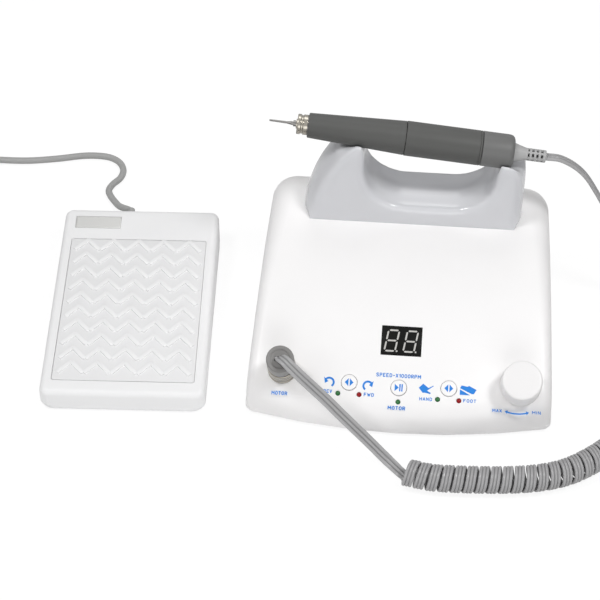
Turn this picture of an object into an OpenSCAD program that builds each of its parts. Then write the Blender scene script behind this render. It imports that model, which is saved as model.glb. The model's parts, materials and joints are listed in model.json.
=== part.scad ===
// Nail drill machine: a control unit with a handpiece cradle, a corded handpiece and a foot pedal
// Lengths are millimetres, angles are degrees, +X is right, +Y is back, +Z is up

/* [Control unit] */
// Width of the housing at its front
unit_w = 190; // [184:1:206]
// Width of the housing at its back
unit_back_w = 182; // [176:1:188]
// Depth of the housing
unit_d = 162; // [160:1:172]
// Height where the middle of the front wall starts to roll over
lip_h = 7; // [6.5:0.5:10]
// Radius of the roll-over at the front
front_r = 18; // [14:1:20]
// Slope of the panel just above the roll-over
front_slope = 32.8; // [31.6:0.2:34]
// Radius of the arched panel
panel_r = 360; // [340:5:420]
// Radius of the bowed front, seen from above
bow_r = 374; // [330:1:600]
// Radius of the front and side edges
edge_r = 7; // [6:0.5:8]
// Radius of the back edge and the back corners
back_r = 16; // [12:0.5:17]
// Draft of the side walls
side_draft = 2; // [0.5:0.5:3]
// Wall of the housing
unit_wall = 2.5; // [2:0.1:3]
// Height at which the shell meets the base tray
parting_z = 5.5; // [5:0.5:6]
// Height of the rubber feet
foot_h = 3; // [2.5:0.5:4]
// Radius of the rubber feet
foot_r = 7; // [5:0.5:8]
// Sideways place of the front feet
foot_front_x = 66; // [56:1:70]
// Sideways place of the back feet
foot_back_x = 58; // [48:1:60]
// Distance of the feet from the front and back edges
foot_inset = 19; // [16:1:24]

/* [Panel controls] */
// Sideways distance between the buttons
button_pitch = 30.5; // [26:0.5:34]
// Place of the middle button, from the front
button_y = 16; // [15:0.2:18]
// Radius of a button
button_r = 4.8; // [4:0.1:5.4]
// How far a button stands proud of the panel
button_proud = 0.7; // [0.7:0.1:1.5]
// Travel of a button
button_travel = 0.6; // [0.3:0.1:0.6]
// Sideways distance from a button to its lamps
led_offset = 6.5; // [6.5:0.5:9]
// Place of the lamp row, from the front
led_y = 11.2; // [10:0.2:12]
// Place of the running lamp, from the front
run_led_y = 8.6; // [8:0.1:9]
// Radius of a lamp
led_r = 1.5; // [1.2:0.1:1.6]
// Width of the display
display_w = 25; // [22:0.5:28]
// Length of the display, up the slope
display_l = 19; // [17:0.5:21]
// Place of the display, from the front
display_y = 42; // [40:0.5:44]
// Sideways place of the speed knob
knob_x = 74; // [70:0.5:76]
// Place of the speed knob, from the front
knob_y = 21; // [20:0.5:25]
// Radius of the speed knob
knob_r = 12.6; // [11:0.2:13]
// Height of the speed knob
knob_h = 16; // [13:0.5:20]
// Radius of the potentiometer shaft
shaft_r = 3; // [2.5:0.1:3.2]
// Sideways place of the motor socket, left of the middle
socket_x = 72; // [70:0.5:74]
// Place of the motor socket, from the front
socket_y = 22; // [20:0.5:25]
// Radius of the motor plug
plug_r = 8.5; // [8:0.1:8.8]
// Height of the motor plug above its socket ring
plug_h = 27; // [25:0.5:30]

/* [Rear panel] */
// Width of the rear panel
rear_w = 132; // [128:1:136]
// Height of the rear panel
rear_h = 42; // [38:1:46]
// Height of the middle of the rear panel
rear_z = 36; // [33:1:39]
// Thickness of the rear panel
rear_t = 2; // [1.6:0.1:2.5]
// Radius of the pedal socket's bore, for a 6.35 mm jack
jack_r = 3.2; // [3.2:0.05:3.4]
// Tilt of the power rocker to each side
rocker_tilt = 11; // [8:1:12]

/* [Cradle] */
// Depth of the cradle, front to back
cradle_d = 27; // [26:0.5:29]
// Distance of the cradle from the back of the housing
cradle_inset = 17.5; // [16:0.5:19]
// Reach of the cradle to the left of the middle
cradle_left = 68; // [66:0.5:71]
// Reach of the cradle to the right of the middle
cradle_right = 71; // [69:0.5:73]
// Radius of the cradle's left flank
flank_r = 110; // [100:1:130]
// Radius of the cradle's right shoulder
shoulder_r = 11; // [8:0.5:12]
// Radius of the valley's round ends
valley_r = 27; // [24:0.5:29]
// Sideways distance between the valley's round ends
valley_l = 28; // [22:0.5:30]
// Sideways place of the valley's middle
valley_x = 11.5; // [10:0.5:12.5]
// Height of the valley's floor above the panel, at the front
valley_floor = 13.5; // [10:0.5:16]
// Rise of the valley's floor towards the back
valley_rise = 13.5; // [8:0.5:15]
// Wall of the cradle
cradle_wall = 3; // [2:0.2:3.4]
// Depth of the bevels at the cradle's front corners
cradle_bevel = 10; // [6:0.5:12]
// Slant of those bevels
cradle_slant = 22; // [10:1:25]

/* [Handpiece] */
// Height of the handpiece's seam above the panel
hand_h = 57; // [54:0.5:62]
// Slope of the handpiece in its cradle
hand_tilt = 5.8; // [4:0.2:7]
// Sideways place of the front of the grip, left of the middle
hand_x = 65.3; // [63:0.1:68]
// Length of the grip
grip_l = 60.3; // [56:0.1:64]
// Radius of the grip at its front
grip_front_r = 7.7; // [7.3:0.1:8.2]
// Radius of the grip at its back
grip_back_r = 10.6; // [10.2:0.1:10.8]
// Length of the motor housing behind the grip
motor_l = 47; // [47:0.5:54]
// Radius of the motor housing
motor_r = 10.8; // [10.8:0.1:11.4]
// Length of the rear cap
cap_l = 20; // [17:0.5:24]
// Radius of the rear cap's round end
cap_round = 4; // [2:0.5:5]
// Length of the cord boot
boot_l = 20; // [16:0.5:24]
// Radius of the spindle
spindle_r = 3; // [2.8:0.1:3.2]
// Radius of the bit's shank
shank_r = 1.175; // [1:0.025:1.2]
// Radius of the bit's working end
bit_r = 0.75; // [0.5:0.05:1]
// How far the bit stands out of the grip
bit_out = 24; // [20:0.5:30]

/* [Foot pedal] */
// Width of the pedal
pedal_w = 103; // [99:1:112]
// Depth of the pedal
pedal_d = 158; // [154:1:170]
// Height of the pedal at its front
pedal_front_h = 17; // [16:0.5:20]
// Height of the pedal at its back
pedal_back_h = 27; // [26:0.5:30]
// Radius of the pedal's corners, seen from above
pedal_corner_r = 9; // [8:0.5:12]
// Radius of the pedal's upper edges
pedal_edge_r = 5; // [4:0.5:6]
// Wall of the pedal
pedal_wall = 2.5; // [2:0.1:3]
// Turn of the pedal on the floor
pedal_yaw = 3; // [0:0.5:6]
// Width of the tread
tread_w = 89; // [84:0.5:90]
// Length of the tread
tread_l = 120; // [114:0.5:122]
// Distance of the tread from the pedal's front
tread_y = 10; // [9.5:0.5:12]
// Thickness of the tread
tread_t = 2.5; // [2:0.1:3]
// How far the tread tips when pressed
tread_press = 2.5; // [1:0.5:2.5]
// Gap between the pedal and the control unit, side by side
set_gap = 24.9; // [18:0.1:60]
// Distance from the unit's front back to the pedal's back
pedal_back = 166; // [164:1:185]

/* [Cords] */
// Width of the flat three-strand handpiece cord
ribbon_w = 6.1; // [5:0.1:6.2]
// Thickness of the handpiece cord
ribbon_t = 2.2; // [1.8:0.1:2.4]
// Radius of the curls, to the middle of the cord
curl_r = 7.3; // [6.5:0.1:7.6]
// Step from curl to curl
curl_pitch = 7.1; // [7:0.1:7.2]
// Count of curls
curls = 30; // [10:1:30]
// Diameter of the pedal cord
pedal_cord_d = 4.6; // [4:0.1:5]
// Count of loops in the put-away coil of pedal cord
coil_loops = 8; // [4:2:8]
// Radius of the coil's innermost loop
coil_inner_r = 17; // [15:0.5:20]

/* [Fits] */
// Gap between a moving piece and the hole it moves in
move_gap = 0.3; // [0.25:0.05:0.4]
// Gap all round a piece that sits in a recess or a window
seat_gap = 0.2; // [0.1:0.05:0.3]
// Radial gap of a turning fit
turn_gap = 0.06; // [0.03:0.01:0.08]
// Radius of the screws
screw_r = 1.5; // [1.25:0.05:1.6]

/* [Hidden] */

$fn = 48;

// Facets of the balls that the rounded shells are stretched over
skin_fn = 20;
// Overshoot of a cut past the face it opens
cut = 1;
// Room between a flat piece and the facets of the housing
facet_gap = 0.4;

// Colours
white_plastic = [0.95, 0.95, 0.95];
cradle_grey = [0.79, 0.79, 0.81];
handpiece_grey = [0.37, 0.37, 0.37];
cap_grey = [0.42, 0.42, 0.42];
cord_grey = [0.58, 0.58, 0.59];
boot_grey = [0.72, 0.72, 0.71];
nickel = [0.82, 0.8, 0.74];
steel = [0.6, 0.6, 0.62];
board_green = [0.1, 0.35, 0.2];
dark = [0.1, 0.1, 0.11];
copper = [0.75, 0.42, 0.22];
badge_silver = [0.8, 0.81, 0.79];
pedal_cord_grey = [0.62, 0.63, 0.6];

// The panel's arc, in the plane of the control unit's depth and height
arc_y = front_r*(1 - sin(front_slope)) + panel_r*sin(front_slope);
arc_z = lip_h + front_r*cos(front_slope) - panel_r*cos(front_slope);
function panel_z(y) = arc_z + sqrt(panel_r^2 - (arc_y - y)^2);
function panel_tilt(y) = asin((arc_y - y)/panel_r);

// Plan of the housing
function bow(x) = bow_r - sqrt(bow_r^2 - x^2);
function half_w(y, z) = unit_w/2 - (unit_w - unit_back_w)/2*y/unit_d - z*tan(side_draft);
function roll_z(shift) = arc_z + sqrt((panel_r - front_r)^2 - (arc_y - front_r - shift)^2);
function roll_start(shift) = asin((arc_y - front_r - shift)/(panel_r - front_r));

// The control board lies flat under the panel, square to the panel here
board_y = 28;
board_tilt = panel_tilt(board_y);
board_depth = 12;
board_t = 1.6;
board_w = 104;
board_low = 27;
board_high = 27;
board_screw_x = 47;
boss_r = 3.2;
function board_v(y) = (y - board_y)*cos(board_tilt) + (panel_z(y) - panel_z(board_y))*sin(board_tilt);
function board_n(y) = (panel_z(y) - panel_z(board_y))*cos(board_tilt) - (y - board_y)*sin(board_tilt);

// Buttons
button_flange_r = button_r + 1.5;
button_flange_t = 1.3;
button_stem_r = 2;
button_stem_l = 7.2;
tact_w = 6;
tact_pin_h = 0.8;
led_proud = 0.6;
press_gap = button_travel + move_gap;
button_flange_gap = 0.9;

// Screws
head_r = 2.8;
head_h = 2;
case_screw_l = 10;
inner_screw_l = 6;
screw_hole_r = screw_r + 0.2;
screw_pilot_r = screw_r + 0.05;
post_r = 4;
post_front = [74, 46];
post_back = [71, 122];

// Potentiometer and motor socket
pot_r = 8.25;
pot_l = 8.5;
bushing_r = shaft_r + 1;
bushing_l = 4;
nut_t = 2.2;
nut_wall = 2.2;
knob_gap = 0.9;
knob_wall = 2.2;
knob_edge = 1.6;
knob_taper = 0.4;
shaft_in = 9;
knob_hub_z = bushing_l + 1;
socket_r = 6;
socket_pin_r = 3.3;
socket_ring_t = 2;
socket_l = 12;
socket_lip = 0.4;
plug_pin_l = 9;
plug_ring_h = 12;
plug_neck_h = 3;
plug_neck_r = 7;
plug_edge = 1.2;

// Inside the control unit
tray_rim_t = 1.5;
tray_rim_h = 3;
vent_w = 3;
vent_l = 36;
vents = 7;
core_size = [54, 44, 38];
core_place = [-45, 94];
core_window = [9, 26];
core_leg = core_size[0]/2 - core_window[0];
lug_l = 9;
lug_t = 2;
power_board_size = [56, 54];
power_board_place = [36, 88];
standoff_h = 5;
heatsink_size = [34, 6, 26];
capacitor_r = 8;
capacitor_h = 24;

// Rear panel pieces, from left to right
rear_y = unit_d - unit_wall - facet_gap;
rear_lap = 8;
inlet_x = -42;
switch_x = -14;
fuse_x = 12;
jack_x = 42;
inlet_body = [22, 14, 15];
inlet_flange = [30, 20, 2];
inlet_hollow = [15.4, 8.4, 11];
inlet_pin_r = 1.2;
inlet_pin_pitch = 8.6;
switch_body = [13.4, 19.4, 14];
switch_flange = [16, 22.4, 2];
switch_wall = 1.1;
rocker_pivot_z = -2.5;
rocker_pin_r = 1.2;
rocker_drop = 3.5;
rear_lip = 2;
rear_lip_t = 2;
fuse_cap_h = 5;
fuse_slot_w = 1.2;
fuse_r = 6.2;
fuse_l = 24;
jack_barrel_r = 5;
jack_box = [14, 14, 22];
jack_l = 14;

// Places of the control unit and the pedal, with the set centred on the origin
pedal_span_x = (pedal_w - 2*pedal_corner_r)*cos(pedal_yaw)
  + (pedal_d - 2*pedal_corner_r)*sin(pedal_yaw) + 2*pedal_corner_r;
pedal_span_y = (pedal_d - 2*pedal_corner_r)*cos(pedal_yaw)
  + (pedal_w - 2*pedal_corner_r)*sin(pedal_yaw) + 2*pedal_corner_r;
unit_half = half_w(edge_r, 0);
set_w = 2*unit_half + set_gap + pedal_span_x;
set_d = max(pedal_back, rear_y + fuse_cap_h);
unit_place = [set_w/2 - unit_half, -set_d/2, 0];
pedal_place = [pedal_span_x/2 - set_w/2, pedal_back - set_d/2 - pedal_span_y/2, 0];

// Cradle and handpiece places
cradle_back = unit_d - cradle_inset;
cradle_front = cradle_back - cradle_d;
hand_y = (cradle_front + cradle_back)/2;
seam_z = panel_z(hand_y) + hand_h;
hand_front = [-hand_x, hand_y, seam_z + grip_l*sin(hand_tilt)];
function axis_z(x) = hand_front[2] - (x + hand_x)*tan(hand_tilt);
rest_gap = 0.35;
cradle_sink = 14.2;
cradle_base_z = panel_z(hand_y) - cradle_sink;
cradle_crest_x = 39;
cradle_boss_x = [-47, 61.5];
cradle_boss_h = 60;
cradle_boss_rise = 47;
cradle_boss_y = hand_y + cradle_boss_rise/2*tan(panel_tilt(hand_y));
valley_top = 60;
valley_floor_z = panel_z(cradle_front) + valley_floor;

// Handpiece pieces along its axis, from the front of the grip
part_gap = 0.3;
motor_front = grip_l + part_gap;
motor_back = motor_front + motor_l;
cap_front = motor_back + part_gap;
cap_back = cap_front + cap_l;
boot_back = cap_back + boot_l;
boot_cone_l = 7.5;
boot_base_r = 6;
boot_end_r = 3.9;
boot_slots = 4;
boot_slot_w = 1.4;
quill_r = 6.3;
quill_bore_r = 5.5;
neck_r = 8.2;
neck_l = 13.5;
motor_bore_r = motor_r - 1.6;
motor_wall_t = 2.4;
nose_l = 6.8;
nose_r = 6.3;
nose_groove = 1;
nose_bore_r = spindle_r + move_gap;
motor_shaft_r = 2;
collet_r = 1.9;
collet_l = 20;
spindle_out = nose_l + 0.6;
collet_out = nose_l + 2.4;
bit_tip_r = 0.8*bit_r;
rotor_r = 6.2;
rotor_l = 24;
magnet_gap = 0.5;
commutator_r = 4;
commutator_l = 7;
rotor_front = motor_front + motor_wall_t + 4;
commutator_front = rotor_front + rotor_l + 2;
brush_w = 3.5;
bearing_t = 3.5;
rear_bearing_r = 4.5;
front_bearing_s = 2;
cap_web = 2;
cord_hole_r = 2.2;
spigot_l = 4;

// Pedal pieces
pedal_foot_h = 2;
pedal_foot_r = 6;
pedal_foot_inset = 20;
pedal_base_t = 3;
pedal_parting = pedal_foot_h + pedal_base_t;
pedal_slope = atan((pedal_back_h - pedal_front_h)/pedal_d);
function pedal_top(y) = pedal_front_h + (pedal_back_h - pedal_front_h)*y/pedal_d;
tread_gap = 0.5;
hinge_r = 1.5;
hinge_back = 5;
hinge_drop = 6;
hinge_y = tread_y + tread_l - hinge_back;
hinge_z = pedal_top(hinge_y) - hinge_drop;
hinge_post_t = 4;
hinge_post_x = 30;
hinge_ear_t = 4;
spring_y = 42;
spring_r = 5;
spring_wire_r = 0.6;
spring_turns = 4;
spring_gap = 0.4;
switch_y = 70;
switch_size = [20, 10];
switch_pin_h = 2;
pedal_post_r = 3.9;
pedal_post_front = [6.5, 6];
pedal_post_back = [11, 10];
badge_w = 30;
badge_l = 10.5;
badge_inset = 23;
badge_x = badge_inset - pedal_w/2;
badge_y = 145;
badge_t = 0.8;
badge_sunk = 0.5;
gland_x = -10;
gland_z = 11;
gland_l = 12;
gland_r = 5;

// Routes of the cords, in the control unit's frame, each from its first piece to its last
lead_route = [
  [-70.8, 4.6, 58.9], [-68.4, 2.3, 59.2], [-65, -0.8, 58.2], [-60.8, -3.1, 55.4], [-55.2, -5, 50.6],
  [-48.5, -7.1, 44.6], [-42.2, -9, 38.8], [-35.4, -11.4, 32.4], [-28.6, -13.9, 26.3], [-23.5, -15.6, 21.6],
  [-18.6, -17.3, 17.2], [-13.3, -19.4, 12.6], [-8.3, -21.8, 8.6]
];
curl_entry = [[-2, -25.4, 4.5], [3.2, -29, 2.1], [7, -32.6, 1.4]];
curl_axis = [
  [0.7, -34.7], [7, -35.7], [14, -36.8], [24, -38], [36, -38], [48, -37.5],
  [68, -36], [86, -33], [102, -27.5], [116, -18.5],
  [129, -7], [140, 7], [148, 22], [153, 38], [155, 54], [155, 70], [155, 86]
];
hand_route = [
  [91, 131.5, 119], [100, 131.5, 114], [108, 131.5, 106], [116, 131.5, 93], [124, 131.5, 78],
  [132, 131.5, 62], [140, 131.5, 46], [148, 130.5, 31], [156, 128, 18], [163, 123, 8.5],
  [168, 116, 3.5], [170, 108, 1.7], [170, 100, 1.4], [168, 93, 1.3]
];
pedal_route = [
  [-190.5, 180.5, 9.5], [-193.5, 184, 7.5], [-197.5, 187.5, 5.5], [-201, 191, 4], [-204.5, 196, 3],
  [-208.5, 202, 2.7], [-210.5, 208, 2.6], [-208.5, 214.5, 2.6],
  [-204.5, 221, 2.6], [-203.5, 229, 2.6], [-207, 237, 2.6],
  [-214, 242, 2.6], [-223, 243.5, 2.6], [-235, 242.5, 2.6], [-252, 238, 2.6], [-272, 234, 2.8],
  [-290, 232.8, 3.1], [-305, 232.8, 3.4], [-320, 232.8, 3.5]
];
coil_middle = [-345, 195];
coil_lift = 1.2;
curl_lift = 0.2;
curl_rings = 8;
crowd = 0.15;
curl_start = 0.15;
coil_step = pedal_cord_d + 0.6;
tie_t = 0.8;
tie_w = 9;
tie_gap = 0.3;
loop_rings = 24;
pedal_plug_r = 5.5;
pedal_plug_l = 32;
jack_pin_r = 3.175;
jack_pin_l = 30;
plug_sleeve_l = 8;

// Frames that the pieces are built in

module at_unit() translate(unit_place) children();

module on_panel(x, y)
  at_unit() translate([x, y, panel_z(y)]) rotate([panel_tilt(y), 0, 0]) children();

module on_board(x, v)
  at_unit() translate([0, board_y, panel_z(board_y)]) rotate([board_tilt, 0, 0])
    translate([x, v, 0]) children();

// Outward is +Z here, and -Y is up
module on_rear(x)
  at_unit() translate([x, rear_y, rear_z]) rotate([-90, 0, 0]) children();

// +Z runs from the bit to the cord
module on_handpiece()
  at_unit() translate(hand_front) rotate([0, 90 + hand_tilt, 0]) children();

// The pedal's front edge is at y = 0
module at_pedal()
  translate(pedal_place) rotate([0, 0, pedal_yaw]) translate([0, -pedal_d/2, 0]) children();

// Shared shapes

module ring(outer, inner, h) {
  difference() {
    cylinder(r = outer, h = h);
    translate([0, 0, -cut]) cylinder(r = inner, h = h + 2*cut);
  }
}

module middle_box(size) translate([-size[0]/2, -size[1]/2, 0]) cube(size);

// A pan-head screw, with its shank along +Z from the seat of its head
module screw(l) {
  translate([0, 0, -head_h]) cylinder(r = head_r, h = head_h);
  cylinder(r = screw_r, h = l);
}

module hex_nut(bore) {
  difference() {
    cylinder(r = (bore + nut_wall)/cos(30), h = nut_t, $fn = 6);
    translate([0, 0, -cut]) cylinder(r = bore, h = nut_t + 2*cut);
  }
}

// A tube of any section along a route, as one closed skin of triangles
function tube_faces(rings, sides) = concat(
  [for (i = [0:rings - 2]) for (j = [0:sides - 1])
    [i*sides + j, (i + 1)*sides + j, i*sides + (j + 1)%sides]],
  [for (i = [0:rings - 2]) for (j = [0:sides - 1])
    [i*sides + (j + 1)%sides, (i + 1)*sides + j, (i + 1)*sides + (j + 1)%sides]],
  [for (j = [1:sides - 2]) [0, j, j + 1]],
  [for (j = [1:sides - 2]) let (k = (rings - 1)*sides) [k, k + j + 1, k + j]]
);

function unit_vector(v) = v/norm(v);

function tangent(pts, i) =
  let (n = len(pts)) unit_vector(pts[min(i + 1, n - 1)] - pts[max(i - 1, 0)]);

// Rings of a section whose first axis stays as near to `across` as the route allows
function tube_points(pts, across, section) = [
  for (i = [0:len(pts) - 1])
    let (t = tangent(pts, i),
         a = across[i],
         u = unit_vector(a - t*(a*t)),
         v = cross(t, u))
    for (s = section) pts[i] + u*s[0] + v*s[1]
];

module tube(pts, across, section)
  polyhedron(tube_points(pts, across, section), tube_faces(len(pts), len(section)));

function round_section(r, sides) = [for (j = [0:sides - 1]) r*[cos(360*j/sides), sin(360*j/sides)]];

// The flat cord's section, with blunt ends
function ribbon_section(sides) = sides == 6
  ? [[ribbon_w/2, 0], [ribbon_w/3, ribbon_t/2], [-ribbon_w/3, ribbon_t/2],
     [-ribbon_w/2, 0], [-ribbon_w/3, -ribbon_t/2], [ribbon_w/3, -ribbon_t/2]]
  : [[ribbon_w/2, ribbon_t/5], [ribbon_w/2.5, ribbon_t/2],
     [-ribbon_w/2.5, ribbon_t/2], [-ribbon_w/2, ribbon_t/5],
     [-ribbon_w/2, -ribbon_t/5], [-ribbon_w/2.5, -ribbon_t/2],
     [ribbon_w/2.5, -ribbon_t/2], [ribbon_w/2, -ribbon_t/5]];

// A smooth curve through the points, with some steps between each two
function curve_point(a, b, c, d, t) =
  0.5*(2*b + (c - a)*t + (2*a - 5*b + 4*c - d)*t^2 + (3*b - a - 3*c + d)*t^3);
function curve(p, steps) = let (n = len(p)) concat(
  [for (i = [0:n - 2]) for (k = [0:steps - 1])
    curve_point(p[max(i - 1, 0)], p[i], p[i + 1], p[min(i + 2, n - 1)], k/steps)],
  [p[n - 1]]
);

function moved(pts, by) = [for (p = pts) p + by];
function level_across(pts) = [for (i = [0:len(pts) - 1]) cross(tangent(pts, i), [0, 0, 1])];

// Housing of the control unit

// Columns along the bowed front, as shares of the half width
bow_steps = [-1, -2/3, -1/3, 0, 1/3, 2/3, 1];
roll_steps = [0, 1/3, 2/3, 1];
arch_steps = 6;

function front_x(share) = share*(half_w(edge_r, 0) - edge_r);

module base_columns(inset, z0, z1) {
  for (f = bow_steps)
    translate([front_x(f), edge_r + bow(front_x(f)), z0])
      cylinder(r = edge_r - inset, h = z1 - z0, $fn = skin_fn);
  for (side = [-1, 1])
    translate([side*(half_w(unit_d, 0) - back_r), unit_d - back_r, z0])
      cylinder(r = back_r - inset, h = z1 - z0, $fn = skin_fn);
}

module base_outline(inset, z0, z1) hull() base_columns(inset, z0, z1);

// The rounded body of the housing, drawn in by an inset
module housing_skin(inset) {
  back_angle = asin((arc_y - unit_d + back_r)/(panel_r - back_r));
  corner_angle = roll_start(bow(front_x(1)));
  hull() {
    base_columns(inset, foot_h, parting_z + cut);
    for (f = bow_steps) {
      shift = bow(front_x(f));
      for (k = roll_steps) {
        a = roll_start(shift) + k*(90 - roll_start(shift));
        y = front_r + shift - (front_r - edge_r)*sin(a);
        z = roll_z(shift) + (front_r - edge_r)*cos(a);
        translate([f*(half_w(y, z) - edge_r), y, z]) sphere(r = edge_r - inset, $fn = skin_fn);
      }
    }
    for (k = [1:arch_steps]) for (side = [-1, 1]) {
      a = corner_angle + (back_angle - corner_angle)*k/arch_steps;
      r = edge_r + (back_r - edge_r)*(k/arch_steps)^2;
      y = arc_y - (panel_r - r)*sin(a);
      z = arc_z + (panel_r - r)*cos(a);
      translate([side*(half_w(y, z) - r), y, z]) sphere(r = r - inset, $fn = skin_fn);
    }
  }
}

module at_posts()
  for (side = [-1, 1]) for (p = [post_front, post_back])
    translate([side*p[0], p[1], 0]) children();

module at_board_screws()
  for (side = [-1, 1]) for (v = [-board_low + boss_r, board_high - boss_r])
    on_board(side*board_screw_x, v) translate([0, 0, -board_depth]) children();

module at_cradle_screws()
  for (x = cradle_boss_x) on_panel(x, cradle_boss_y) children();

module at_rear_screws()
  for (side = [-1, 1]) for (up = [-1, 1])
    on_rear(side*(rear_w - rear_lap)/2) translate([0, up*(rear_h/2 - rear_lap), 0]) children();

function button_at(k) = button_y + bow(k*button_pitch);

module at_button(k) on_board(k*button_pitch, board_v(button_at(k)))
  translate([0, 0, board_n(button_at(k))]) children();

// A cut through the panel's wall
through_l = 4*unit_wall;
module through_panel() translate([0, 0, -through_l/2]) children();

module at_lamp(p) on_board(p[0], board_v(p[1])) translate([0, 0, board_n(p[1])]) children();

green_places = [[-button_pitch - led_offset, led_y], [0, run_led_y], [button_pitch - led_offset, led_y]];
red_places = [[-button_pitch + led_offset, led_y], [button_pitch + led_offset, led_y]];

module top_shell() color(white_plastic) difference() {
  union() {
    at_unit() difference() {
      housing_skin(0);
      housing_skin(unit_wall);
    }
    intersection() {
      union() {
        at_unit() at_posts() translate([0, 0, parting_z]) cylinder(r = post_r, h = 2*panel_z(unit_d));
        at_board_screws() cylinder(r = boss_r, h = 2*board_depth);
      }
      at_unit() housing_skin(unit_wall/2);
    }
  }
  at_unit() translate([-unit_w, -cut, -cut]) cube([2*unit_w, unit_d + 2*cut, parting_z + cut]);
  at_unit() at_posts()
    translate([0, 0, parting_z - cut]) cylinder(r = screw_pilot_r, h = case_screw_l + cut);
  at_board_screws() translate([0, 0, -cut]) cylinder(r = screw_pilot_r, h = inner_screw_l + cut);
  at_cradle_screws() through_panel() cylinder(r = screw_hole_r, h = through_l);
  for (k = [-1, 0, 1]) at_button(k) through_panel() cylinder(r = button_r + move_gap, h = through_l);
  for (p = concat(green_places, red_places))
    at_lamp(p) through_panel() cylinder(r = led_r + seat_gap, h = through_l);
  on_board(0, board_v(display_y)) through_panel()
    middle_box([display_w + 2*seat_gap, display_l + 2*seat_gap, through_l]);
  on_panel(knob_x, knob_y) through_panel() cylinder(r = bushing_r + seat_gap, h = through_l);
  on_panel(-socket_x, socket_y) through_panel() cylinder(r = socket_r + seat_gap, h = through_l);
  on_rear(0) translate([0, 0, -cut])
    middle_box([rear_w - 2*rear_lap, rear_h - rear_lap, unit_wall + 2*cut]);
  at_rear_screws() translate([0, 0, -cut]) cylinder(r = screw_hole_r, h = unit_wall + 2*cut);
}

module base_tray() color(white_plastic) at_unit() {
  rim_inset = unit_wall + 2*seat_gap;
  difference() {
    union() {
      base_outline(0, foot_h, parting_z);
      difference() {
        base_outline(rim_inset, parting_z, parting_z + tray_rim_h);
        base_outline(rim_inset + tray_rim_t, parting_z - cut, parting_z + tray_rim_h + cut);
      }
      at_standoffs() cylinder(r = boss_r, h = standoff_h);
      at_lugs() cylinder(r = post_r, h = standoff_h);
    }
    at_posts() translate([0, 0, foot_h - cut]) cylinder(r = screw_hole_r, h = parting_z);
    at_standoffs() translate([0, 0, -cut]) cylinder(r = screw_pilot_r, h = standoff_h + 2*cut);
    at_lugs() translate([0, 0, -cut]) cylinder(r = screw_pilot_r, h = standoff_h + 2*cut);
    for (k = [0:vents - 1])
      translate([(k - (vents - 1)/2)*2*vent_w - vent_w/2, board_y + board_high, foot_h - cut])
        cube([vent_w, vent_l, parting_z]);
  }
}

// Screw places of the power board and the transformer, on top of the tray's floor
module at_standoffs()
  for (sx = [-1, 1]) for (sy = [-1, 1])
    translate([power_board_place[0] + sx*(power_board_size[0]/2 - post_r),
               power_board_place[1] + sy*(power_board_size[1]/2 - post_r), parting_z]) children();

module at_lugs()
  for (side = [-1, 1])
    translate([core_place[0] + side*(core_size[0]/2 + lug_l/2), core_place[1], parting_z]) children();

module rubber_feet() color(dark) at_unit()
  for (side = [-1, 1]) {
    translate([side*foot_front_x, bow(foot_front_x) + foot_inset, 0]) cylinder(r = foot_r, h = foot_h);
    translate([side*foot_back_x, unit_d - foot_inset, 0]) cylinder(r = foot_r, h = foot_h);
  }

module case_screws() color(steel) {
  at_unit() at_posts() translate([0, 0, foot_h]) screw(case_screw_l);
  at_cradle_screws() translate([0, 0, -unit_wall - facet_gap]) screw(case_screw_l);
  at_rear_screws() translate([0, 0, unit_d - rear_y]) mirror([0, 0, 1]) screw(inner_screw_l);
  at_pedal() at_pedal_posts() translate([0, 0, pedal_foot_h + head_h]) screw(case_screw_l);
}

module inner_screws() color(steel) {
  at_board_screws() translate([0, 0, -board_t]) screw(inner_screw_l);
  at_unit() at_standoffs() translate([0, 0, standoff_h + board_t]) mirror([0, 0, 1]) screw(inner_screw_l);
  at_unit() at_lugs() translate([0, 0, standoff_h + lug_t]) mirror([0, 0, 1]) screw(inner_screw_l);
}

module rear_panel() color(dark) on_rear(0) {
  difference() {
    translate([0, 0, -rear_t]) middle_box([rear_w, rear_h, rear_t]);
    translate([inlet_x, 0, -rear_t - cut])
      middle_box([inlet_body[0] + 2*seat_gap, inlet_body[1] + 2*seat_gap, rear_t + 2*cut]);
    translate([switch_x, 0, -rear_t - cut])
      middle_box([switch_body[0] + 2*seat_gap, switch_body[1] + 2*seat_gap, rear_t + 2*cut]);
    translate([fuse_x, 0, -rear_t - cut]) cylinder(r = fuse_r + seat_gap, h = rear_t + 2*cut);
    translate([jack_x, 0, -rear_t - cut]) cylinder(r = jack_barrel_r + seat_gap, h = rear_t + 2*cut);
    for (side = [-1, 1]) for (up = [-1, 1])
      translate([side*(rear_w - rear_lap)/2, up*(rear_h/2 - rear_lap), -rear_t - cut])
        cylinder(r = screw_pilot_r, h = rear_t + 2*cut);
  }
}

// Cradle

function arc(middle, r, a0, a1, n) =
  [for (i = [0:n]) let (a = a0 + (a1 - a0)*i/n) middle + r*[cos(a), sin(a)]];

// Front outline of the cradle, drawn in by an inset, with its top lowered
function cradle_outline(inset, drop) =
  let (right = cradle_right - inset,
       r = shoulder_r - inset/2,
       flank = flank_r - inset,
       shoulder = [right - r, axis_z(right - r) - drop - r],
       middle = [flank_r - cradle_left, cradle_base_z],
       top_angle = 180 - asin((axis_z(-cradle_crest_x) - drop - cradle_base_z)/flank))
  concat([[right, cradle_base_z]],
         arc(shoulder, r, 0, 90 - hand_tilt, 8),
         arc(middle, flank, top_angle, 180, 10));

// The outline drawn out from front to back, and past both
module cradle_slab(inset, drop, past)
  translate([0, cradle_back - inset + past, 0]) rotate([90, 0, 0])
    linear_extrude(cradle_d - 2*inset + 2*past) polygon(cradle_outline(inset, drop));

module slanted_slab(inset, drop, end, turn)
  translate([end, cradle_front + cradle_bevel, 0]) rotate([0, 0, turn])
    translate([-end, -cradle_front - cradle_bevel, 0]) cradle_slab(inset, drop, unit_d);

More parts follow.
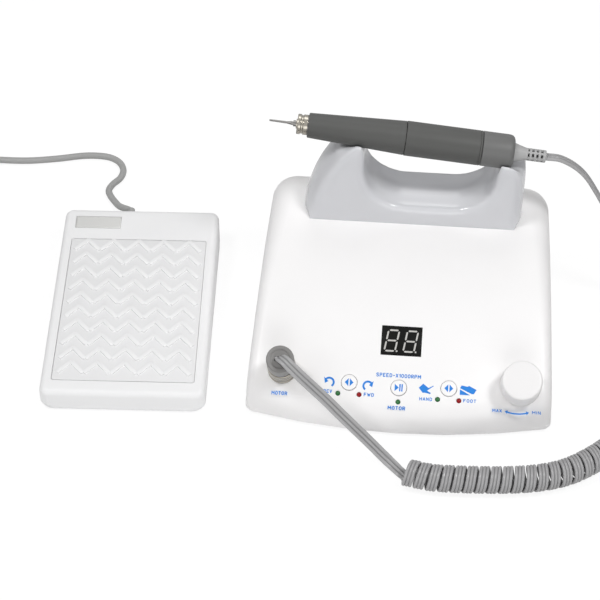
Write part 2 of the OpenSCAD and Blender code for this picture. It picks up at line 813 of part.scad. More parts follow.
// The cradle's outer form, with bevels at its front corners
module cradle_form(inset, drop) intersection() {
  cradle_slab(inset, drop, 0);
  slanted_slab(inset, drop, -cradle_left, cradle_slant);
  slanted_slab(inset, drop, cradle_right, -cradle_slant);
}

// The dip between the humps, level at the front and rising towards the back
module valley(r) {
  floors = [[-0.1, 0], [0.55, 0], [0.75, 0.15], [0.9, 0.5], [1, 1]];
  hull() for (f = floors) for (side = [-1, 1]) for (up = [0, valley_top])
    translate([valley_x + side*valley_l/2, cradle_front + f[0]*cradle_d,
               valley_floor_z + valley_r + f[1]*valley_rise + up])
      rotate([-90, 0, 0]) cylinder(r = r, h = cut, $fn = 32);
}

// The handpiece's outline with a gap round it, open upwards so that it lifts out
module handpiece_room(gap) on_handpiece() {
  hump_s = hand_x + valley_x - valley_l/2 - valley_r;
  hump_r = grip_front_r + (grip_back_r - grip_front_r)*hump_s/grip_l + gap;
  tail_r = motor_r + gap;
  open_h = 3*motor_r;
  cylinder(r1 = grip_front_r + gap, r2 = grip_back_r + gap, h = grip_l);
  translate([0, 0, grip_l]) cylinder(r = tail_r, h = boot_back - grip_l);
  translate([-open_h, -hump_r, 0]) cube([open_h, 2*hump_r, grip_l]);
  translate([-open_h, -tail_r, grip_l]) cube([open_h, 2*tail_r, boot_back - grip_l]);
}

module cradle() color(cradle_grey) difference() {
  union() {
    at_unit() difference() {
      cradle_form(0, 0);
      valley(valley_r);
      difference() {
        cradle_form(cradle_wall, motor_r + rest_gap + cradle_wall);
        valley(valley_r + cradle_wall);
      }
    }
    intersection() {
      at_cradle_screws() cylinder(r = post_r, h = cradle_boss_h);
      at_unit() cradle_form(cradle_wall/2, 0);
    }
  }
  handpiece_room(rest_gap);
  at_unit() housing_skin(-seat_gap/2);
  at_cradle_screws() cylinder(r = screw_pilot_r, h = case_screw_l);
}

// Behind the panel

module display_module() color(dark) on_board(0, board_v(display_y)) translate([0, 0, -board_depth])
  middle_box([display_w, display_l, board_depth + board_n(display_y) - seat_gap]);

// A lamp with a round head, standing on the board
module lamp(y) {
  height = board_depth + board_n(y);
  head = led_proud - led_r;
  translate([0, 0, -height]) cylinder(r = led_r, h = height + head);
  translate([0, 0, head]) sphere(r = led_r);
}

module green_leds() color([0.16, 0.45, 0.2]) for (p = green_places) at_lamp(p) lamp(p[1]);

module red_leds() color([0.55, 0.1, 0.1]) for (p = red_places) at_lamp(p) lamp(p[1]);

module control_board() color(board_green) difference() {
  on_board(0, 0) translate([-board_w/2, -board_low, -board_depth - board_t])
    cube([board_w, board_low + board_high, board_t]);
  at_board_screws() translate([0, 0, -board_t - cut]) cylinder(r = screw_hole_r, h = board_t + 2*cut);
}

module tact_switches() color(dark) for (k = [-1, 0, 1]) at_button(k) {
  height = board_depth + board_n(button_at(k)) - button_stem_l - press_gap;
  translate([0, 0, -button_stem_l - press_gap - height]) {
    middle_box([tact_w, tact_w, height - tact_pin_h]);
    cylinder(r = button_stem_r, h = height);
  }
}

module button(k) at_button(k) {
  under = unit_wall + button_flange_gap + button_flange_t;
  translate([0, 0, -under]) cylinder(r = button_r, h = under + button_proud);
  translate([0, 0, -under]) cylinder(r = button_flange_r, h = button_flange_t);
  translate([0, 0, -button_stem_l]) cylinder(r = button_stem_r, h = button_stem_l);
}

module button_direction() color(white_plastic) button(-1);

module button_start() color(white_plastic) button(0);

module button_mode() color(white_plastic) button(1);

module speed_pot() color(steel) on_panel(knob_x, knob_y) difference() {
  pot_top = unit_wall + facet_gap;
  union() {
    translate([0, 0, -pot_top - pot_l]) cylinder(r = pot_r, h = pot_l);
    translate([0, 0, -pot_top - cut]) cylinder(r = bushing_r, h = pot_top + cut + bushing_l);
  }
  translate([0, 0, -shaft_in - cut]) cylinder(r = shaft_r + turn_gap, h = shaft_in + bushing_l + 2*cut);
}

// The potentiometer's nut sits inside the knob, the socket's nut under the panel
module panel_nuts() color(nickel) {
  on_panel(knob_x, knob_y) translate([0, 0, seat_gap]) hex_nut(bushing_r + turn_gap);
  on_panel(-socket_x, socket_y) translate([0, 0, -unit_wall - facet_gap - nut_t])
    hex_nut(socket_r + turn_gap);
}

module pot_shaft() color(nickel) on_panel(knob_x, knob_y) translate([0, 0, -shaft_in])
  cylinder(r = shaft_r, h = shaft_in + knob_gap + knob_h - knob_wall);

module speed_knob() color(white_plastic) on_panel(knob_x, knob_y) translate([0, 0, knob_gap]) {
  rim = [knob_r - knob_taper - knob_edge, knob_h - knob_edge];
  bore_l = knob_h - knob_wall;
  difference() {
    rotate_extrude() polygon(concat([[0, 0], [knob_r, 0]], arc(rim, knob_edge, 0, 90, 6), [[0, knob_h]]));
    translate([0, 0, -cut]) cylinder(r = knob_r - knob_wall, h = bore_l + cut);
  }
  translate([0, 0, knob_hub_z]) ring(shaft_r + knob_wall, shaft_r + turn_gap, bore_l - knob_hub_z);
}

module motor_socket() color(nickel) on_panel(-socket_x, socket_y) difference() {
  union() {
    translate([0, 0, seat_gap]) cylinder(r = plug_r + socket_lip, h = socket_ring_t - seat_gap);
    translate([0, 0, -socket_l]) cylinder(r = socket_r, h = socket_l + socket_ring_t);
  }
  translate([0, 0, cut - socket_l]) cylinder(r = socket_pin_r + seat_gap, h = socket_l + socket_ring_t);
}

// Coupling ring that holds the plug on its socket
module plug_ring() color(nickel) on_panel(-socket_x, socket_y) translate([0, 0, socket_ring_t])
  ring(plug_r + socket_lip/2, plug_neck_r + seat_gap, plug_ring_h);

module motor_plug() color(cord_grey) on_panel(-socket_x, socket_y) translate([0, 0, socket_ring_t]) {
  body_z = plug_ring_h + plug_neck_h;
  rim = [plug_r - plug_edge, plug_h - plug_edge];
  difference() {
    rotate_extrude() polygon(concat([[0, body_z], [plug_r, body_z]], arc(rim, plug_edge, 0, 90, 6),
                                    [[0, plug_h]]));
    translate([0, 0, plug_h - plug_edge]) ring(plug_r - 1.6*plug_edge, plug_r - 2.2*plug_edge, 2*plug_edge);
  }
  cylinder(r = plug_neck_r, h = body_z + cut);
  translate([0, 0, -plug_pin_l]) cylinder(r = socket_pin_r, h = plug_pin_l + cut);
}

// Power supply

module at_core() at_unit() translate([core_place[0], core_place[1], parting_z + standoff_h]) children();

module transformer_core() color(steel) at_core() difference() {
  window_z = (core_size[2] - core_window[1])/2;
  lug_x = (core_size[0] + lug_l)/2;
  union() {
    middle_box(core_size);
    for (side = [-1, 1]) translate([side*lug_x, 0, 0]) middle_box([lug_l, 2*post_r, lug_t]);
  }
  for (side = [-1, 1]) {
    translate([side*(core_leg + core_window[0])/2, 0, window_z])
      middle_box([core_window[0], 2*core_size[1], core_window[1]]);
    translate([side*lug_x, 0, -cut]) cylinder(r = screw_hole_r, h = lug_t + 2*cut);
  }
}

// The winding goes round the core's middle leg and bulges out in front and behind
module transformer_winding() color(copper) at_core() {
  reach = core_window[0] - 2*seat_gap;
  inner = [core_leg + 2*seat_gap, core_size[1] + 2*seat_gap];
  height = core_window[1] - 2*seat_gap;
  translate([0, 0, (core_size[2] - height)/2]) difference() {
    middle_box([inner[0] + 2*reach, inner[1] + 2*reach, height]);
    translate([0, 0, -cut]) middle_box([inner[0], inner[1], height + 2*cut]);
  }
}

module power_board() color(board_green) at_unit() difference() {
  translate([power_board_place[0], power_board_place[1], parting_z + standoff_h])
    middle_box([power_board_size[0], power_board_size[1], board_t]);
  at_standoffs() translate([0, 0, standoff_h - cut]) cylinder(r = screw_hole_r, h = board_t + 2*cut);
}

module power_components() at_unit()
  translate([power_board_place[0], power_board_place[1], parting_z + standoff_h + board_t]) {
    edge = power_board_size[1]/2 - 2*post_r;
    color(steel) translate([0, heatsink_size[1] - edge, 0]) middle_box(heatsink_size);
    for (side = [-1, 1])
      color(dark) translate([side*1.25*capacitor_r, edge - capacitor_r, 0])
        cylinder(r = capacitor_r, h = capacitor_h);
  }

// Rear panel pieces

module power_inlet() color(dark) on_rear(inlet_x) {
  difference() {
    union() {
      middle_box(inlet_flange);
      translate([0, 0, -inlet_body[2]]) middle_box([inlet_body[0], inlet_body[1], inlet_body[2] + cut]);
    }
    translate([0, 0, inlet_flange[2] - inlet_hollow[2]])
      middle_box([inlet_hollow[0], inlet_hollow[1], inlet_hollow[2] + cut]);
  }
  for (side = [-1, 1])
    translate([side*inlet_pin_pitch/2, 0, -inlet_hollow[2]]) cylinder(r = inlet_pin_r, h = inlet_hollow[2]);
}

module switch_bezel() color(dark) on_rear(switch_x) difference() {
  union() {
    middle_box(switch_flange);
    translate([0, 0, -switch_body[2]])
      middle_box([switch_body[0], switch_body[1], switch_body[2] + cut]);
  }
  translate([0, 0, switch_wall - switch_body[2]])
    middle_box([switch_body[0] - 2*switch_wall, switch_body[1] - 2*switch_wall, 2*switch_body[2]]);
  translate([-switch_body[0], 0, rocker_pivot_z]) rotate([0, 90, 0])
    cylinder(r = rocker_pin_r + turn_gap, h = 2*switch_body[0]);
}

// The rocker lies tilted to its off side
module power_rocker() color([0.5, 0.1, 0.1])
  on_rear(switch_x) translate([0, 0, rocker_pivot_z]) rotate([-rocker_tilt, 0, 0]) {
    half = switch_body[1]/2 - switch_wall - 4*move_gap;
    width = switch_body[0] - 2*switch_wall - 2*move_gap;
    rise = switch_flange[2] - rocker_pivot_z;
    pin_l = switch_body[0] - 2*move_gap;
    translate([-width/2, 0, 0]) rotate([90, 0, 90]) linear_extrude(width)
      polygon([[-half, rise], [0, rise - half*tan(rocker_tilt)], [half, rise],
               [0.9*half, 0], [0.4*half, -rocker_drop], [-0.4*half, -rocker_drop], [-0.9*half, 0]]);
    translate([-pin_l/2, 0, 0]) rotate([0, 90, 0]) cylinder(r = rocker_pin_r, h = pin_l);
  }

module fuse_holder() color(dark) on_rear(fuse_x) {
  cylinder(r = fuse_r + rear_lip, h = rear_lip_t);
  translate([0, 0, -fuse_l]) cylinder(r = fuse_r, h = fuse_l + cut);
  difference() {
    cylinder(r = fuse_r - 1, h = fuse_cap_h);
    translate([-fuse_r, -fuse_slot_w/2, fuse_cap_h - cut]) cube([2*fuse_r, fuse_slot_w, 2*cut]);
  }
}

module pedal_socket() color(dark) on_rear(jack_x) difference() {
  union() {
    cylinder(r = jack_barrel_r + rear_lip, h = rear_lip_t);
    translate([0, 0, -rear_t - cut]) cylinder(r = jack_barrel_r, h = rear_t + 2*cut);
    translate([0, 0, -rear_t - jack_box[2]]) middle_box(jack_box);
  }
  translate([0, 0, rear_lip_t - jack_l]) cylinder(r = jack_r, h = jack_l + cut);
}

// Handpiece

module handpiece_grip() color(handpiece_grey) on_handpiece() difference() {
  cylinder(r1 = grip_front_r, r2 = grip_back_r, h = grip_l);
  translate([0, 0, -cut]) cylinder(r = quill_r + turn_gap, h = grip_l + 2*cut);
  translate([0, 0, grip_l - neck_l]) cylinder(r = neck_r + turn_gap, h = neck_l + cut);
}

module motor_housing() color(handpiece_grey) on_handpiece() difference() {
  union() {
    translate([0, 0, motor_front]) cylinder(r = motor_r, h = motor_l);
    translate([0, 0, grip_l - neck_l + part_gap]) cylinder(r = neck_r, h = neck_l + cut);
  }
  cylinder(r = quill_r + turn_gap, h = motor_front + motor_wall_t + cut);
  translate([0, 0, motor_front + motor_wall_t]) cylinder(r = motor_bore_r, h = motor_l);
}

// The tube that the spindle runs in, from the nose ring into the motor housing
module spindle_housing() color(steel) on_handpiece() translate([0, 0, -part_gap])
  ring(quill_r, quill_bore_r, part_gap + motor_front + motor_wall_t);

module rear_cap() color(cap_grey) on_handpiece() difference() {
  rim = [motor_r - cap_round, cap_l - cap_round];
  union() {
    translate([0, 0, cap_front]) rotate_extrude()
      polygon(concat([[0, 0], [motor_r, 0]], arc(rim, cap_round, 0, 90, 8), [[0, cap_l]]));
    translate([0, 0, cap_front - spigot_l]) cylinder(r = motor_bore_r - turn_gap, h = spigot_l + cut);
  }
  translate([0, 0, cap_front - spigot_l - cut]) cylinder(r = rear_bearing_r + turn_gap, h = spigot_l + cut);
  translate([0, 0, cap_front + cap_web]) cylinder(r = rear_bearing_r, h = cap_l - 2*cap_web);
  translate([0, 0, cap_front - cut]) cylinder(r = cord_hole_r, h = cap_l + 2*cut);
}

// Two collars with a spanner groove between them
module nose_ring() color(nickel) on_handpiece() translate([0, 0, -nose_l]) difference() {
  cylinder(r = nose_r, h = nose_l - part_gap);
  translate([0, 0, nose_l/2 - nose_groove/2]) ring(nose_r + cut, nose_r - nose_groove, nose_groove);
  translate([0, 0, -cut]) cylinder(r = nose_bore_r, h = nose_l + 2*cut);
}

module spindle_bearings() color(steel) on_handpiece() {
  for (s = [front_bearing_s, grip_l - neck_l])
    translate([0, 0, s]) ring(quill_bore_r - turn_gap, spindle_r + turn_gap, bearing_t);
  translate([0, 0, cap_front - spigot_l]) ring(rear_bearing_r, motor_shaft_r + turn_gap, bearing_t);
}

module stator_magnets() color(dark) on_handpiece() translate([0, 0, rotor_front - cut]) difference() {
  length = rotor_l + 2*cut;
  ring(motor_bore_r - turn_gap, rotor_r + magnet_gap, length);
  translate([-motor_r, -brush_w/2, -cut]) cube([2*motor_r, brush_w, length + 2*cut]);
}

module carbon_brushes() color(dark) on_handpiece() for (side = [0, 180]) rotate([0, 0, side])
  translate([commutator_r + turn_gap, -brush_w/2, commutator_front + brush_w/2])
    cube([motor_bore_r - commutator_r - seat_gap - turn_gap, brush_w, brush_w]);

// Cord boot with staggered slots that let it bend
module cord_boot() color(boot_grey) on_handpiece() translate([0, 0, cap_back]) difference() {
  union() {
    cylinder(r1 = boot_base_r, r2 = boot_end_r, h = boot_cone_l);
    translate([0, 0, boot_cone_l]) cylinder(r = boot_end_r, h = boot_l - boot_cone_l);
  }
  for (k = [0:boot_slots - 1]) rotate([0, 0, k*90]) for (side = [0, 180]) rotate([0, 0, side])
    translate([boot_end_r - boot_slot_w/2, -boot_end_r, boot_cone_l + boot_slot_w*(0.5 + 2*k)])
      cube([boot_slot_w, 2*boot_end_r, boot_slot_w]);
}

module spindle() color(nickel) on_handpiece() difference() {
  union() {
    translate([0, 0, -spindle_out]) cylinder(r = spindle_r, h = spindle_out + grip_l);
    cylinder(r = motor_shaft_r, h = cap_front - spigot_l + bearing_t);
  }
  translate([0, 0, -spindle_out - cut])
    cylinder(r = collet_r + turn_gap, h = spindle_out + collet_l + 2*cut);
}

module collet() color(steel) on_handpiece() translate([0, 0, -collet_out])
  ring(collet_r, shank_r + turn_gap, collet_out + collet_l);

module rotor() color(copper) on_handpiece() {
  translate([0, 0, rotor_front]) ring(rotor_r, motor_shaft_r + turn_gap, rotor_l);
  translate([0, 0, commutator_front]) ring(commutator_r, motor_shaft_r + turn_gap, commutator_l);
}

module drill_bit() color(steel) on_handpiece() {
  translate([0, 0, -collet_out - cut]) cylinder(r = shank_r, h = collet_out + collet_l);
  translate([0, 0, -bit_out]) cylinder(r1 = bit_tip_r, r2 = bit_r, h = bit_out - collet_out);
}

// Handpiece cord: a lead from the plug, the curls, and the stretch up to the handpiece

function on_panel_point(x, y, h) = [x, y - h*sin(panel_tilt(y)), panel_z(y) + h*cos(panel_tilt(y))];
plug_top = on_panel_point(-socket_x, socket_y, socket_ring_t + plug_h);
plug_over = on_panel_point(-socket_x, socket_y, socket_ring_t + plug_h + ribbon_t);
hand_way = [cos(hand_tilt), 0, -sin(hand_tilt)];
boot_end = hand_front + boot_back*hand_way;
boot_over = boot_end + ribbon_t*hand_way;

// Points of the curls' axis, found by the length along it
axis_pts = curve(curl_axis, 4);
function lengths(p, i = 0, s = 0) =
  i == len(p) - 1 ? [s] : concat([s], lengths(p, i + 1, s + norm(p[i + 1] - p[i])));
axis_s = lengths(axis_pts);
axis_x = [for (i = [0:len(axis_s) - 1]) [axis_s[i], axis_pts[i][0]]];
axis_y = [for (i = [0:len(axis_s) - 1]) [axis_s[i], axis_pts[i][1]]];
function axis_at(s) = [lookup(s, axis_x), lookup(s, axis_y), curl_r + ribbon_t/2 + curl_lift];
function axis_way(s) = unit_vector(axis_at(s + ribbon_w) - axis_at(s - ribbon_w));

// The end curls lie a little closer, so that they stand upright
function crowded(t) = crowd*(pow(max(0, 1 - t), 3) - pow(max(0, t - curls + 1), 3))/3;
function curl_s(t) = ribbon_w + curl_pitch*(t + curl_start + crowded(t));
function curl_point(t) =
  let (s = curl_s(t), side = cross([0, 0, 1], axis_way(s)), a = 180 + 360*t)
  axis_at(s) + curl_r*(cos(a)*[0, 0, 1] + sin(a)*side);
curl_last_ring = curls*curl_rings;
curl_mid = [for (i = [0:curl_last_ring]) curl_point(i/curl_rings)];
function level(v) = unit_vector([v[0], v[1], 0]);
entry_way = unit_vector(curl_entry[1] - curl_entry[0]);
entry_rings = len(curl_entry);
entry_across = level_across(concat(curl_entry, [curl_mid[0]]));
curl_away = level(curl_point(curls) - curl_point(curls - 0.01));
curl_last = curl_mid[curl_last_ring] + ribbon_w*curl_away;
curl_pts = concat(curl_entry, curl_mid, [curl_last]);
curl_across = [for (i = [0:len(curl_pts) - 1])
  i < entry_rings ? entry_across[i] : axis_way(curl_s(min(i - entry_rings, curl_last_ring)/curl_rings))];

// Least gap between one curl and the next, measured between the points of the skin
curl_skin = tube_points(curl_pts, curl_across, ribbon_section(6));
curl_gap = min([for (i = [0:len(curl_pts) - curl_rings - 3])
  for (j = [i + curl_rings - 2:i + curl_rings + 2])
    for (a = [0:5]) for (b = [0:5]) norm(curl_skin[6*i + a] - curl_skin[6*j + b])]);
echo(curl_gap = curl_gap);

module curly_cord() color(cord_grey) at_unit() tube(curl_pts, curl_across, ribbon_section(6));

module ribbon(first, route, last) {
  pts = concat([first], curve(route, 2), [last]);
  tube(pts, level_across(pts), ribbon_section(8));
}

module plug_lead() color(cord_grey) at_unit()
  ribbon(plug_top, concat([plug_over], lead_route, [curl_entry[0] - ribbon_t*entry_way]), curl_entry[0]);

module hand_cord() color(cord_grey) at_unit()
  ribbon(boot_end, concat([boot_over], hand_route, [curl_last + ribbon_w*curl_away]), curl_last);

// Foot pedal

// Rounded wedge of the pedal, drawn in by an inset
module pedal_wedge(inset) hull() for (side = [-1, 1]) for (y = [pedal_corner_r, pedal_d - pedal_corner_r])
  translate([side*(pedal_w/2 - pedal_corner_r), y, 0]) {
    translate([0, 0, pedal_foot_h]) cylinder(r = pedal_corner_r - inset, h = pedal_base_t, $fn = 32);
    translate([0, 0, pedal_top(y) - pedal_edge_r]) rotate([pedal_slope, 0, 0]) rotate_extrude($fn = 32)
      translate([pedal_corner_r - pedal_edge_r, 0]) intersection() {
        circle(r = pedal_edge_r - inset, $fn = 20);
        translate([0, -pedal_edge_r]) square([pedal_edge_r, 2*pedal_edge_r]);
      }
  }

module at_pedal_posts() for (side = [-1, 1]) {
  translate([side*(pedal_w/2 - pedal_post_front[0]), pedal_post_front[1], 0]) children();
  translate([side*(pedal_w/2 - pedal_post_back[0]), pedal_d - pedal_post_back[1], 0]) children();
}

// On the pedal's sloping top, with +Y up the slope
module on_tread(x, y) translate([x, y, pedal_top(y)]) rotate([pedal_slope, 0, 0]) children();

tread_run = tread_l/cos(pedal_slope);

module pedal_cover() color(white_plastic) at_pedal() difference() {
  union() {
    difference() {
      pedal_wedge(0);
      pedal_wedge(pedal_wall);
    }
    intersection() {
      at_pedal_posts() cylinder(r = pedal_post_r, h = 2*pedal_back_h);
      pedal_wedge(pedal_wall/2);
    }
  }
  translate([-pedal_w, -cut, 0]) cube([2*pedal_w, pedal_d + 2*cut, pedal_parting]);
  on_tread(0, tread_y) translate([-tread_w/2 - tread_gap, -tread_gap, -2*pedal_wall])
    cube([tread_w + 2*tread_gap, tread_run + 2*tread_gap, 4*pedal_wall]);
  on_tread(badge_x, badge_y) translate([0, 0, -badge_sunk])
    middle_box([badge_w + 2*seat_gap, badge_l + 2*seat_gap, 2*badge_t]);
  at_pedal_posts() cylinder(r = screw_pilot_r, h = pedal_foot_h + head_h + case_screw_l);
  translate([gland_x, pedal_d + cut, gland_z]) rotate([90, 0, 0])
    cylinder(r = gland_r + seat_gap, h = 2*pedal_wall + cut);
}

module pedal_base() color(white_plastic) at_pedal() difference() {
  union() {
    translate([0, pedal_d/2, pedal_foot_h]) {
      middle_box([pedal_w - 2*pedal_corner_r, pedal_d, pedal_base_t]);
      middle_box([pedal_w, pedal_d - 2*pedal_corner_r, pedal_base_t]);
    }
    for (side = [-1, 1]) for (y = [pedal_corner_r, pedal_d - pedal_corner_r])
      translate([side*(pedal_w/2 - pedal_corner_r), y, pedal_foot_h])
        cylinder(r = pedal_corner_r, h = pedal_base_t);
    for (side = [-1, 1]) translate([side*hinge_post_x, hinge_y, pedal_foot_h])
      middle_box([hinge_post_t, 4*hinge_r, hinge_z + 1.7*hinge_r - pedal_foot_h]);
  }
  at_pedal_posts() cylinder(r = screw_hole_r, h = 2*pedal_parting);
  at_pedal_posts() cylinder(r = head_r + seat_gap, h = pedal_foot_h + head_h);
  translate([-pedal_w/2, hinge_y, hinge_z]) rotate([0, 90, 0])
    cylinder(r = hinge_r + turn_gap, h = pedal_w);
}

module tread_plate() color(white_plastic) at_pedal() difference() {
  ear_x = hinge_post_x - hinge_post_t/2 - part_gap - hinge_ear_t/2;
  union() {
    on_tread(0, tread_y) translate([-tread_w/2, 0, -tread_t]) cube([tread_w, tread_run, tread_t]);
    for (side = [-1, 1]) translate([side*ear_x, hinge_y, hinge_z - 2*hinge_r])
      middle_box([hinge_ear_t, 4*hinge_r, 2*hinge_r + hinge_drop - tread_t/2]);
  }
  translate([-pedal_w/2, hinge_y, hinge_z]) rotate([0, 90, 0])
    cylinder(r = hinge_r + turn_gap, h = pedal_w);
}

module hinge_pin() color(steel) at_pedal()
  translate([-hinge_post_x - hinge_post_t/2, hinge_y, hinge_z]) rotate([0, 90, 0])
    cylinder(r = hinge_r, h = 2*hinge_post_x + hinge_post_t);

// The return spring between the base and the tread
spring_low = pedal_parting + spring_wire_r + spring_gap;
spring_high = pedal_top(spring_y - spring_r) - tread_t - spring_wire_r - 2*spring_gap;
spring_rise = (spring_high - spring_low)/spring_turns;
spring_mid = [for (i = [0:spring_turns*curl_rings]) let (t = i/curl_rings)
  [spring_r*cos(360*t), spring_y + spring_r*sin(360*t), spring_low + spring_rise*t]];
spring_across = [for (p = spring_mid) [p[0], p[1] - spring_y, 0]];
echo(spring_gap = spring_rise - 2*spring_wire_r);

module pedal_spring() color(steel) at_pedal()
  tube(spring_mid, spring_across, round_section(spring_wire_r, 6));

module pedal_switch() color(dark) at_pedal() translate([0, switch_y, pedal_parting]) {
  travel = (hinge_y - switch_y)*tan(tread_press);
  height = pedal_top(switch_y) - tread_t - pedal_parting - travel - 2*move_gap;
  middle_box([switch_size[0], switch_size[1], height - switch_pin_h]);
  middle_box([switch_size[0]/4, switch_size[1]/2, height]);
}

module pedal_badge() color(badge_silver) at_pedal() on_tread(badge_x, badge_y)
  translate([0, 0, -badge_sunk]) middle_box([badge_w, badge_l, badge_t]);

module pedal_feet() color(dark) at_pedal() for (side = [-1, 1])
  for (y = [pedal_foot_inset, pedal_d - pedal_foot_inset])
    translate([side*(pedal_w/2 - pedal_foot_inset), y, 0]) cylinder(r = pedal_foot_r, h = pedal_foot_h);

// A tapered strain relief through the pedal's back wall
module pedal_gland() color(cord_grey) at_pedal()
  translate([gland_x, pedal_d - 2*pedal_wall, gland_z]) rotate([-90, 0, 0]) {
    cylinder(r = gland_r, h = 2*pedal_wall);
    translate([0, 0, 2*pedal_wall]) cylinder(r1 = gland_r, r2 = pedal_cord_d/2 + 1, h = gland_l);
  }

function pedal_point(p) =
  let (q = p - [0, pedal_d/2, 0], c = cos(pedal_yaw), s = sin(pedal_yaw))
  pedal_place + [q[0]*c - q[1]*s, q[0]*s + q[1]*c, q[2]];
gland_end = pedal_point([gland_x, pedal_d + gland_l, gland_z]);
gland_over = pedal_point([gland_x, pedal_d + gland_l + pedal_cord_d, gland_z]);

// Put-away coil of the pedal cord: it winds in on the floor, climbs, winds out and comes down to the plug
layer_loops = coil_loops/2;
coil_turns = coil_loops + 1/4;
coil_low_z = coil_lift + pedal_cord_d/2;
coil_high_z = coil_low_z + coil_step;
coil_end_z = pedal_plug_r + curl_lift;
function off(t) = 4*max(t - coil_loops, 0);
function coil_rad(t) = coil_inner_r + coil_step*(abs(t - layer_loops) + off(t)*3/4);
function coil_z(t) = coil_low_z + (coil_high_z - coil_low_z)*min(max(2*(t - layer_loops) + 1/2, 0), 1)
  + (coil_end_z - coil_high_z)*off(t)^2;
function coil_point(t) = [coil_middle[0] + coil_rad(t)*cos(90 + 360*t),
                          coil_middle[1] + coil_rad(t)*sin(90 + 360*t), coil_z(t)];
coil_mid = [for (i = [0:coil_turns*loop_rings]) coil_point(i/loop_rings)];
coil_first = coil_mid[0] + [pedal_cord_d, 0, 0];
coil_last = coil_mid[len(coil_mid) - 1] - [0, pedal_cord_d, 0];
coil_pts = concat([coil_first], coil_mid, [coil_last]);
coil_across = [for (p = coil_pts) [p[0] - coil_middle[0], p[1] - coil_middle[1], 0]];
coil_gap = min([for (i = [0:len(coil_mid) - 1]) for (j = [i + loop_rings/2:1:len(coil_mid) - 1])
  norm(coil_mid[i] - coil_mid[j])]) - pedal_cord_d;
echo(coil_gap = coil_gap);

module pedal_cord_coil() color(pedal_cord_grey) at_unit()
  tube(coil_pts, coil_across, round_section(pedal_cord_d/2, 6));

module pedal_cord() color(pedal_cord_grey) {
  route = moved(concat(pedal_route, [coil_first + [pedal_cord_d, 0, 0]]), unit_place);
  pts = concat([gland_end], curve(concat([gland_over], route), 2), [coil_first + unit_place]);
  tube(pts, level_across(pts), round_section(pedal_cord_d/2, 8));
}

// A band round the bundle of loops, on the side of the coil towards the front
module coil_tie() color(dark) at_unit() {
  near = coil_rad(layer_loops + 1/2);
  sag = near - sqrt(near^2 - tie_w^2/4);
  inner_r = near - sag - pedal_cord_d/2 - tie_gap;
  outer_r = coil_rad(1/2) + pedal_cord_d/2 + 2*tie_gap;
  height = coil_high_z - coil_low_z + pedal_cord_d + 2*tie_gap;
  translate([coil_middle[0], coil_middle[1] - (outer_r + inner_r)/2, coil_lift - tie_gap]) difference() {
    translate([0, 0, -tie_t]) middle_box([tie_w, outer_r - inner_r + 2*tie_t, height + 2*tie_t]);
    middle_box([2*tie_w, outer_r - inner_r, height]);
  }
}

// The jack plug at the far end of the pedal cord, lying on the floor beside the coil
module pedal_plug() at_unit() translate(coil_last) rotate([90, 0, 0]) {
  color(dark) {
    cylinder(r1 = pedal_cord_d/2 + 1, r2 = pedal_plug_r - 1, h = plug_sleeve_l);
    translate([0, 0, plug_sleeve_l]) cylinder(r = pedal_plug_r, h = pedal_plug_l - plug_sleeve_l);
  }
  color(nickel) translate([0, 0, pedal_plug_l]) {
    cylinder(r = jack_pin_r, h = jack_pin_l - jack_pin_r);
    translate([0, 0, jack_pin_l - jack_pin_r]) cylinder(r1 = jack_pin_r, r2 = jack_pin_r/3, h = jack_pin_r);
  }
}

top_shell();
base_tray();
rubber_feet();
case_screws();
rear_panel();
cradle();
display_module();
green_leds();
red_leds();
control_board();
tact_switches();
inner_screws();
speed_pot();
panel_nuts();
motor_socket();
transformer_core();
transformer_winding();
power_board();
power_components();
power_inlet();
switch_bezel();
fuse_holder();
pedal_socket();
button_direction();
button_start();
button_mode();
speed_knob();
pot_shaft();
power_rocker();
motor_housing();
spindle_housing();
rear_cap();
nose_ring();
spindle_bearings();
stator_magnets();
carbon_brushes();
cord_boot();
handpiece_grip();
spindle();
collet();
rotor();
drill_bit();
motor_plug();
plug_ring();
plug_lead();
curly_cord();
hand_cord();
pedal_base();
pedal_cover();
tread_plate();
hinge_pin();
pedal_spring();
pedal_switch();
pedal_badge();
pedal_feet();
pedal_gland();
pedal_cord();
pedal_cord_coil();
coil_tie();
pedal_plug();
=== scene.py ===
"""Nail drill machine: the visible pieces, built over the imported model's frame."""
import json
import math

